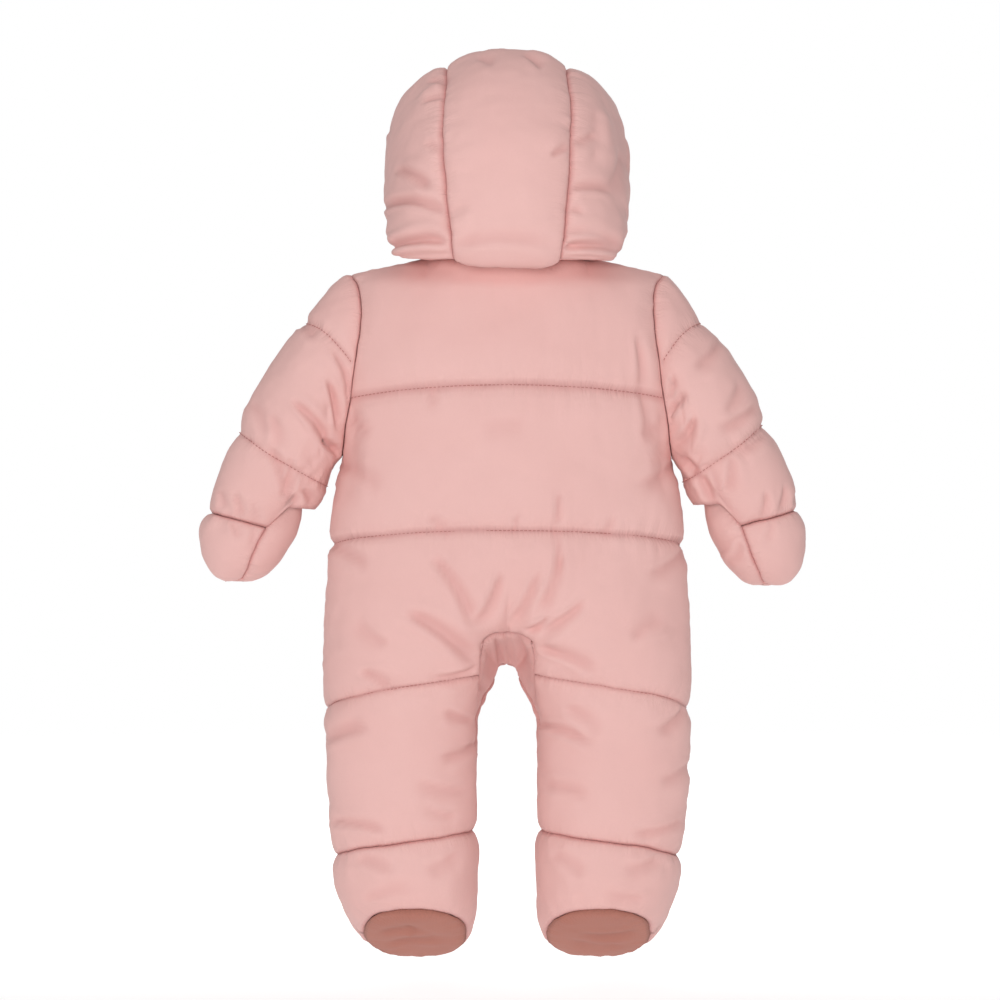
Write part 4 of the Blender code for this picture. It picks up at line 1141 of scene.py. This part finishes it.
# %% Hood tables
HOOD = table("along crown_y crown_z seam_x edge_x edge_y edge_z sweep", (
    (0.00, -74, 152, 45, 51, -75, 149, 60), (0.10, -48, 168, 46, 67, -78, 130, 95),
    (0.20, -16, 178, 47, 71.7, -79, 104, 122), (0.31, 22, 176, 48, 71, -77, 78, 129),
    (0.42, 56, 158, 49, 68.7, -73, 52, 133), (0.53, 79, 128, 51, 57, -68, 26, 143),
    (0.64, 90, 92, 50, 31.8, -58, 4, 160), (0.76, 91, 52, 47, 60, -14, 13.3, 138.8),
    (0.86, 88, 21, 44, 61, 10, 15, 136.7), (0.93, 78, 7, 42, 57, 22, 13.6, 137.2),
    (1.00, 53, 6.6, 38, 42, 38.5, 10.5, 90)))
HOOD_CREASES = (
    (1, 83, 81, 58, 61, 3.2, 4), (1, 96, 54, 46, 45, 3.2, 4), (1, -34, 88, -50, 96, 2.4, 3),
    (1, -71, 128, -73, 80, -2.4, 6), (1, -48, 62, -78, 64, 2.4, 4), (1, 92, 18, 44, 21, 5.0, 4),
    (1, 40, 19, -40, 18, 1.6, 5), (1, -44, 16, -92, 16, 5.0, 4), (1, -44, 28, -86, 23, 2.2, 4),
    (1, 63, 134, 47, 138, 2.6, 3), (1, -13, 170, -27, 158, 2.2, 4), (1, 22, 168, 10, 160, 1.8, 5),
    (1, 60, 152, 44, 150, 2.4, 4), (1, -66, 108, -50, 100, 2.0, 4), (1, 62, 100, 50, 92, 2.2, 4),
    (1, -44, 46, -58, 44, 1.8, 3), (1, 26, 44, 60, 30, -1.6, 8), (1, -88, 96, -76, 60, 1.8, 7),
    (-1, 90, 120, 74, 92, 2.4, 5), (-1, -90, 118, -74, 90, 2.4, 5), (-1, 88, 60, 70, 44, 2.6, 5),
    (-1, -88, 62, -70, 44, 2.6, 5))
print("hood", len(HOOD["along"]), "sections")

# %% [markdown]
# Each section is an arc that starts at the crown and sweeps round to the face
# edge, so one formula gives both the strip and the cheeks, and they share the
# seam between them.

# %% Make the hood
def hood_point(along, share, panel):
    """A point of the hood: share 0 to 1 across the half strip or the side panel."""
    row = {name: curve(HOOD["along"], HOOD[name], along) for name in HOOD}
    sweep = np.radians(row["sweep"])
    widest = row["edge_x"] / np.sin(sweep)
    seam = np.minimum(np.arcsin(np.clip(row["seam_x"] / widest, -1, 1)), sweep * 0.93)
    turn = seam * share if panel == "strip" else seam + (sweep - seam) * share
    forward = (1 - np.cos(turn)) / (1 - np.cos(sweep))
    y = row["crown_y"] + (row["edge_y"] - row["crown_y"]) * forward
    z = row["crown_z"] + (row["edge_z"] - row["crown_z"]) * forward
    return stack(widest * np.sin(turn), y, z)


def clear_of_shoulders(points, normals):
    """The filling thins on the hood's underside, above the shoulders."""
    under = np.clip(-1.6 * normals[..., 2], 0, 1)
    low = np.clip((70 - points[..., 2]) / 30, 0, 1)
    return 1 - under * low


along = np.linspace(0, 1, 150)[:, None]
share = np.linspace(-1, 1, 41)[None, :]
strip = hood_point(*np.broadcast_arrays(along, np.abs(share) * 0.998), "strip")
strip[..., 0] *= np.sign(share)
cloth("hood_center", strip, -1, [strip[:, 0], strip[:, -1], strip[-1], strip[0]], shell_cloth,
      creases=HOOD_CREASES, seed=31)
share = np.linspace(0.002, 1, 64)[None, :]
cheek = hood_point(*np.broadcast_arrays(along, share), "side")
for side_name, side in (("left", 1), ("right", -1)):
    flip = np.array((side, 1, 1))
    grid = cheek * flip
    cloth("hood_" + side_name, grid, -side, [grid[:, 0], grid[:, -1]], shell_cloth,
          creases=HOOD_CREASES, relief=clear_of_shoulders, seed=33 + side)

# %% [markdown]
# ## The zip
#
# A moulded zip closes the front from the neck to the seat.  Its tape is cut
# narrow and flat; the teeth are small blocks that alternate from side to
# side, made once as a mesh and repeated along the tape.

# %% Zip tape
TAPE_HALF = 5.0
TAPE_END = 9.0          # how far the tape runs on below the last tooth
ZIP_FURTHEST = -70.0    # the tape never stands further forward than this


def zip_depth(heights):
    """Depth of the front's middle at each height, sloping in to the neck."""
    heights = np.asarray(heights, float)
    low = np.minimum(heights, YOKE_HEIGHT)
    upper = np.maximum(body_section(low, np.ones_like(low), -1)[..., 1], ZIP_FURTHEST)
    t = np.clip((heights - YOKE_HEIGHT) / (NECK_FRONT[1] - YOKE_HEIGHT), 0, 1)
    return upper + (-NECK_FRONT[0] - upper) * t**2


heights = np.linspace(ZIP_TOP, ZIP_FOOT - TAPE_END, 124)
across_tape = np.linspace(-TAPE_HALF, TAPE_HALF, 13)
tape = stack(across_tape[None, :], zip_depth(heights)[:, None], heights[:, None])
cloth("zip_tape", tape, 1, [tape[:, 0], tape[:, -1]], tape_cloth, puff=0.0, wall=1.4,
      gathers=0.0, reach=1.0, allowance=0.0, seed=40)

# %% [markdown]
# Hundreds of teeth as separate objects would be slow to handle, so they are
# written as boxes into one mesh.  The slider and its pull are already full
# solids in the frame, so they stay as they are and only take a metal finish.

# %% Teeth, slider and pull
SLIDER_HEIGHT = -30.0
TOOTH_PITCH = 1.25
TOOTH_AXES = ((1.35, 0, 0), (0, 0, 0.45), (0, -0.75, 0))
TOOTH_TAPER = 0.8


def joined_boxes(name, boxes, finish):
    """One mesh of small boxes, each given by its centre, three half axes and a taper."""
    corners = np.array([(x, y, z) for x in (-1, 1) for y in (-1, 1) for z in (-1, 1)], float)
    quads = np.array(((0, 1, 3, 2), (4, 6, 7, 5), (0, 4, 5, 1), (2, 3, 7, 6), (0, 2, 6, 4), (1, 5, 7, 3)))
    points = []
    faces = []
    for centre, axes, taper in boxes:
        local = corners.copy()
        local[:, :2] *= np.where(local[:, 2:] > 0, taper, 1.0)
        faces += (quads + 8 * len(points)).tolist()
        points.append(np.asarray(centre) + local @ np.asarray(axes))
    mesh = bpy.data.meshes.new(name)
    mesh.from_pydata((np.vstack(points) * MM).tolist(), [], faces)
    made = bpy.data.objects.new(name, mesh)
    bpy.context.scene.collection.objects.link(made)
    made.data.materials.append(finish)
    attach(made, "suit")
    print(name, len(boxes), "boxes")


def moulded(name, colour, roughness, metallic):
    """A smooth moulded or cast finish with faint wear in its gloss."""
    finish = Finish(name, roughness, metallic)
    place = finish.node("ShaderNodeTexCoord", output=3)
    wear = finish.node("ShaderNodeTexNoise", None, {"Vector": place, "Scale": 320.0, "Detail": 3.0})
    finish.set("Roughness", wear * 0.25 + (roughness - 0.12))
    finish.set("Base Color", finish.blend(wear * 0.35, colour, tuple(0.8 * c for c in colour[:3]) + (1.0,)))
    return finish.material


tooth_finish = moulded("zip_teeth_resin", (0.70, 0.34, 0.31, 1.0), 0.42, 0.0)
zip_metal = moulded("brushed_zip_metal", (0.50, 0.48, 0.46, 1.0), 0.38, 1.0)
teeth = []
for number, height in enumerate(np.arange(SLIDER_HEIGHT - 8.0, ZIP_FOOT + 3.0, -TOOTH_PITCH)):
    depth = float(zip_depth(height)) - 0.35
    side = 1 if number % 2 else -1
    teeth.append(((side * 0.7, depth, height), TOOTH_AXES, TOOTH_TAPER))
joined_boxes("zip_teeth", teeth, tooth_finish)
for name in ("zip_slider", "zip_pull"):
    node = bpy.data.objects[name]
    node.data.materials.clear()
    node.data.materials.append(zip_metal)
print("zip from", ZIP_TOP, "to", ZIP_FOOT)

# %% [markdown]
# ## Stitches
#
# Quilting is a running line of short stitches, each a few threads long and
# sunk into the cloth.  Every stitch is a small block laid along the line just
# above the finished cloth, found again from the grid of its piece.

# %% Stitches
thread = moulded("pink_thread", (0.50, 0.20, 0.18, 1.0), 0.7, 0.0)
STITCH_PITCH = 3.4
STITCH_LENGTH = 2.1
STITCH_TAPER = 0.7
THREAD_WIDTH = 0.6
THREAD_HEIGHT = 0.56


def stitches(line, normals, lift=0.55):
    """Blocks along a sewn line, each with its length, width and height axes."""
    steps = np.linalg.norm(np.diff(line, axis=0), axis=1)
    along = np.concatenate([[0], np.cumsum(steps)])
    places = np.arange(STITCH_PITCH / 2, along[-1], STITCH_PITCH)
    blocks = []
    for place in places:
        before, after = (np.array([np.interp(place + step, along, line[:, k]) for k in range(3)])
                         for step in (-0.5, 0.5))
        run = after - before
        length = np.linalg.norm(run)
        if length < 0.5:
            continue
        normal = np.array([np.interp(place, along, normals[:, k]) for k in range(3)])
        run = run / length
        normal = normal - run * (normal @ run)
        normal = normal / np.linalg.norm(normal)
        wide = np.cross(normal, run)
        centre = (before + after) / 2 + normal * lift
        axes = (run * STITCH_LENGTH / 2, wide * THREAD_WIDTH / 2, normal * THREAD_HEIGHT / 2)
        blocks.append((centre, axes, STITCH_TAPER))
    return blocks


def on_piece(name, lines):
    """Stitches along lines drawn on a piece's grid, set on its raised surface."""
    points = pieces[name]["points"].reshape(-1, 3)
    grid = pieces[name]["grid"].reshape(-1, 3)
    normals = pieces[name]["normals"].reshape(-1, 3)
    tree = kdtree.KDTree(len(grid))
    for index, point in enumerate(grid):
        tree.insert(point, index)
    tree.balance()
    blocks = []
    for line in lines:
        found = [tree.find(point) for point in line]
        raised = np.array([line[k] + points[hit[1]] - grid[hit[1]] for k, hit in enumerate(found)])
        facing = np.array([normals[hit[1]] for hit in found])
        blocks += stitches(raised, facing)
    return blocks


blocks = on_piece("back", back_quilts)
for side_name, side in (("left", 1), ("right", -1)):
    flip = np.array((side, 1, 1))
    blocks += on_piece("front_" + side_name, [line * flip for line in front_quilts])
    blocks += on_piece("sleeve_" + side_name, sleeve_quilts[side])
joined_boxes("quilting_stitches", blocks, thread)

# %% [markdown]
# ## Floor, light and camera
#
# The suit stands over a pale floor that fades out a few metres away, so no
# horizon shows.  A curved sweep would also hide it, but it would shade the
# views from behind it.  The floor glows a little on the far side, where less
# light reaches it.

# %% Pale floor
FLOOR = -0.62
FLOOR_SIZE = 12
GLOW = (0.3, -0.7)         # the glow grows between these depths
FADE = (1.2, 3.4)          # solid inside the first radius, gone past the second
bpy.ops.mesh.primitive_plane_add(size=FLOOR_SIZE, location=(0, 0, FLOOR))
backdrop = bpy.context.object
backdrop.name = "pale_floor"
paper = Finish("pale_paper", 0.95)
paper.shader.inputs["Emission Strength"].default_value = 1.0
place = paper.node("ShaderNodeTexCoord", output=3)
mottle = paper.node("ShaderNodeTexNoise", None, {"Vector": place, "Scale": 2.0})
paper.set("Base Color", paper.blend(mottle * 0.05, (0.93, 0.93, 0.93, 1), (0.9, 0.9, 0.9, 1)))
depth = paper.node("ShaderNodeSeparateXYZ", None, {"Vector": place}, 1)
behind_suit = paper.node("ShaderNodeMapRange", None, {
    "Value": depth, "From Min": GLOW[0], "From Max": GLOW[1]})
paper.set("Emission Color", paper.blend(behind_suit, (0.1, 0.1, 0.1, 1), (0.8, 0.8, 0.8, 1)))
reach = paper.node("ShaderNodeVectorMath", {"operation": "LENGTH"}, {"Vector": place}, 1)
paper.set("Alpha", paper.node("ShaderNodeMapRange", None, {
    "Value": reach, "From Min": FADE[1], "From Max": FADE[0]}))
backdrop.data.materials.append(paper.material)
print("floor at", FLOOR, "m")

# %% [markdown]
# One large soft light from behind the camera keeps shadows faint and lets the
# padding shade itself at the sides.  Two weaker ones lift the far side and the
# top.  Each is an area light turned towards the middle of the suit.

# %% Soft lights
MIDDLE = Vector((0.0057, 0.0, -0.1845))


def soft_light(name, position, size, power):
    """A square area light turned towards the middle of the suit."""
    data = bpy.data.lights.new(name, "AREA")
    data.shape = "SQUARE"
    data.size = size
    data.energy = power
    light = bpy.data.objects.new(name, data)
    light.location = position
    light.rotation_euler = (MIDDLE - Vector(position)).to_track_quat("-Z", "Y").to_euler()
    bpy.context.scene.collection.objects.link(light)
    print(name, "light", power, "W")


soft_light("key", (0.2, 2.7, 0.1), 1.0, 33)
soft_light("front", (-0.5, -2.6, 0.6), 1.2, 10)
soft_light("overhead", (0.1, 0.6, 2.4), 1.4, 5)

# %% [markdown]
# The world is plain white where it is looked at, and dimmer as a light, or it
# would wash the folds out.

# %% World
WORLD_LIGHT = 0.42
WORLD_SEEN = 1.0
world = bpy.data.worlds.new("studio")
bpy.context.scene.world = world
world.use_nodes = True
world_nodes = world.node_tree.nodes
background = world_nodes["Background"]
background.inputs["Color"].default_value = (1, 1, 1, 1)
seen = world_nodes.new("ShaderNodeLightPath")
bright = world_nodes.new("ShaderNodeMapRange")
bright.inputs["To Min"].default_value = WORLD_LIGHT
bright.inputs["To Max"].default_value = WORLD_SEEN
world.node_tree.links.new(seen.outputs["Is Camera Ray"], bright.inputs["Value"])
world.node_tree.links.new(bright.outputs["Result"], background.inputs["Strength"])
print("world light", WORLD_LIGHT)

# %% [markdown]
# The camera is far off with a long lens, square to the back, as on a product
# page, so the arms and legs keep their true widths.

# %% Camera
CAMERA_AWAY = 2.6
LENS = 114.0
camera_data = bpy.data.cameras.new("camera")
camera_data.lens = LENS
camera_data.sensor_width = 36.0
camera = bpy.data.objects.new("camera", camera_data)
camera.location = MIDDLE + Vector((0, CAMERA_AWAY, 0))
camera.rotation_euler = (MIDDLE - camera.location).to_track_quat("-Z", "Y").to_euler()
bpy.context.scene.collection.objects.link(camera)
bpy.context.scene.camera = camera
bpy.context.scene.view_settings.view_transform = "Standard"
print("camera", tuple(round(v, 3) for v in camera.location), "lens", camera_data.lens)
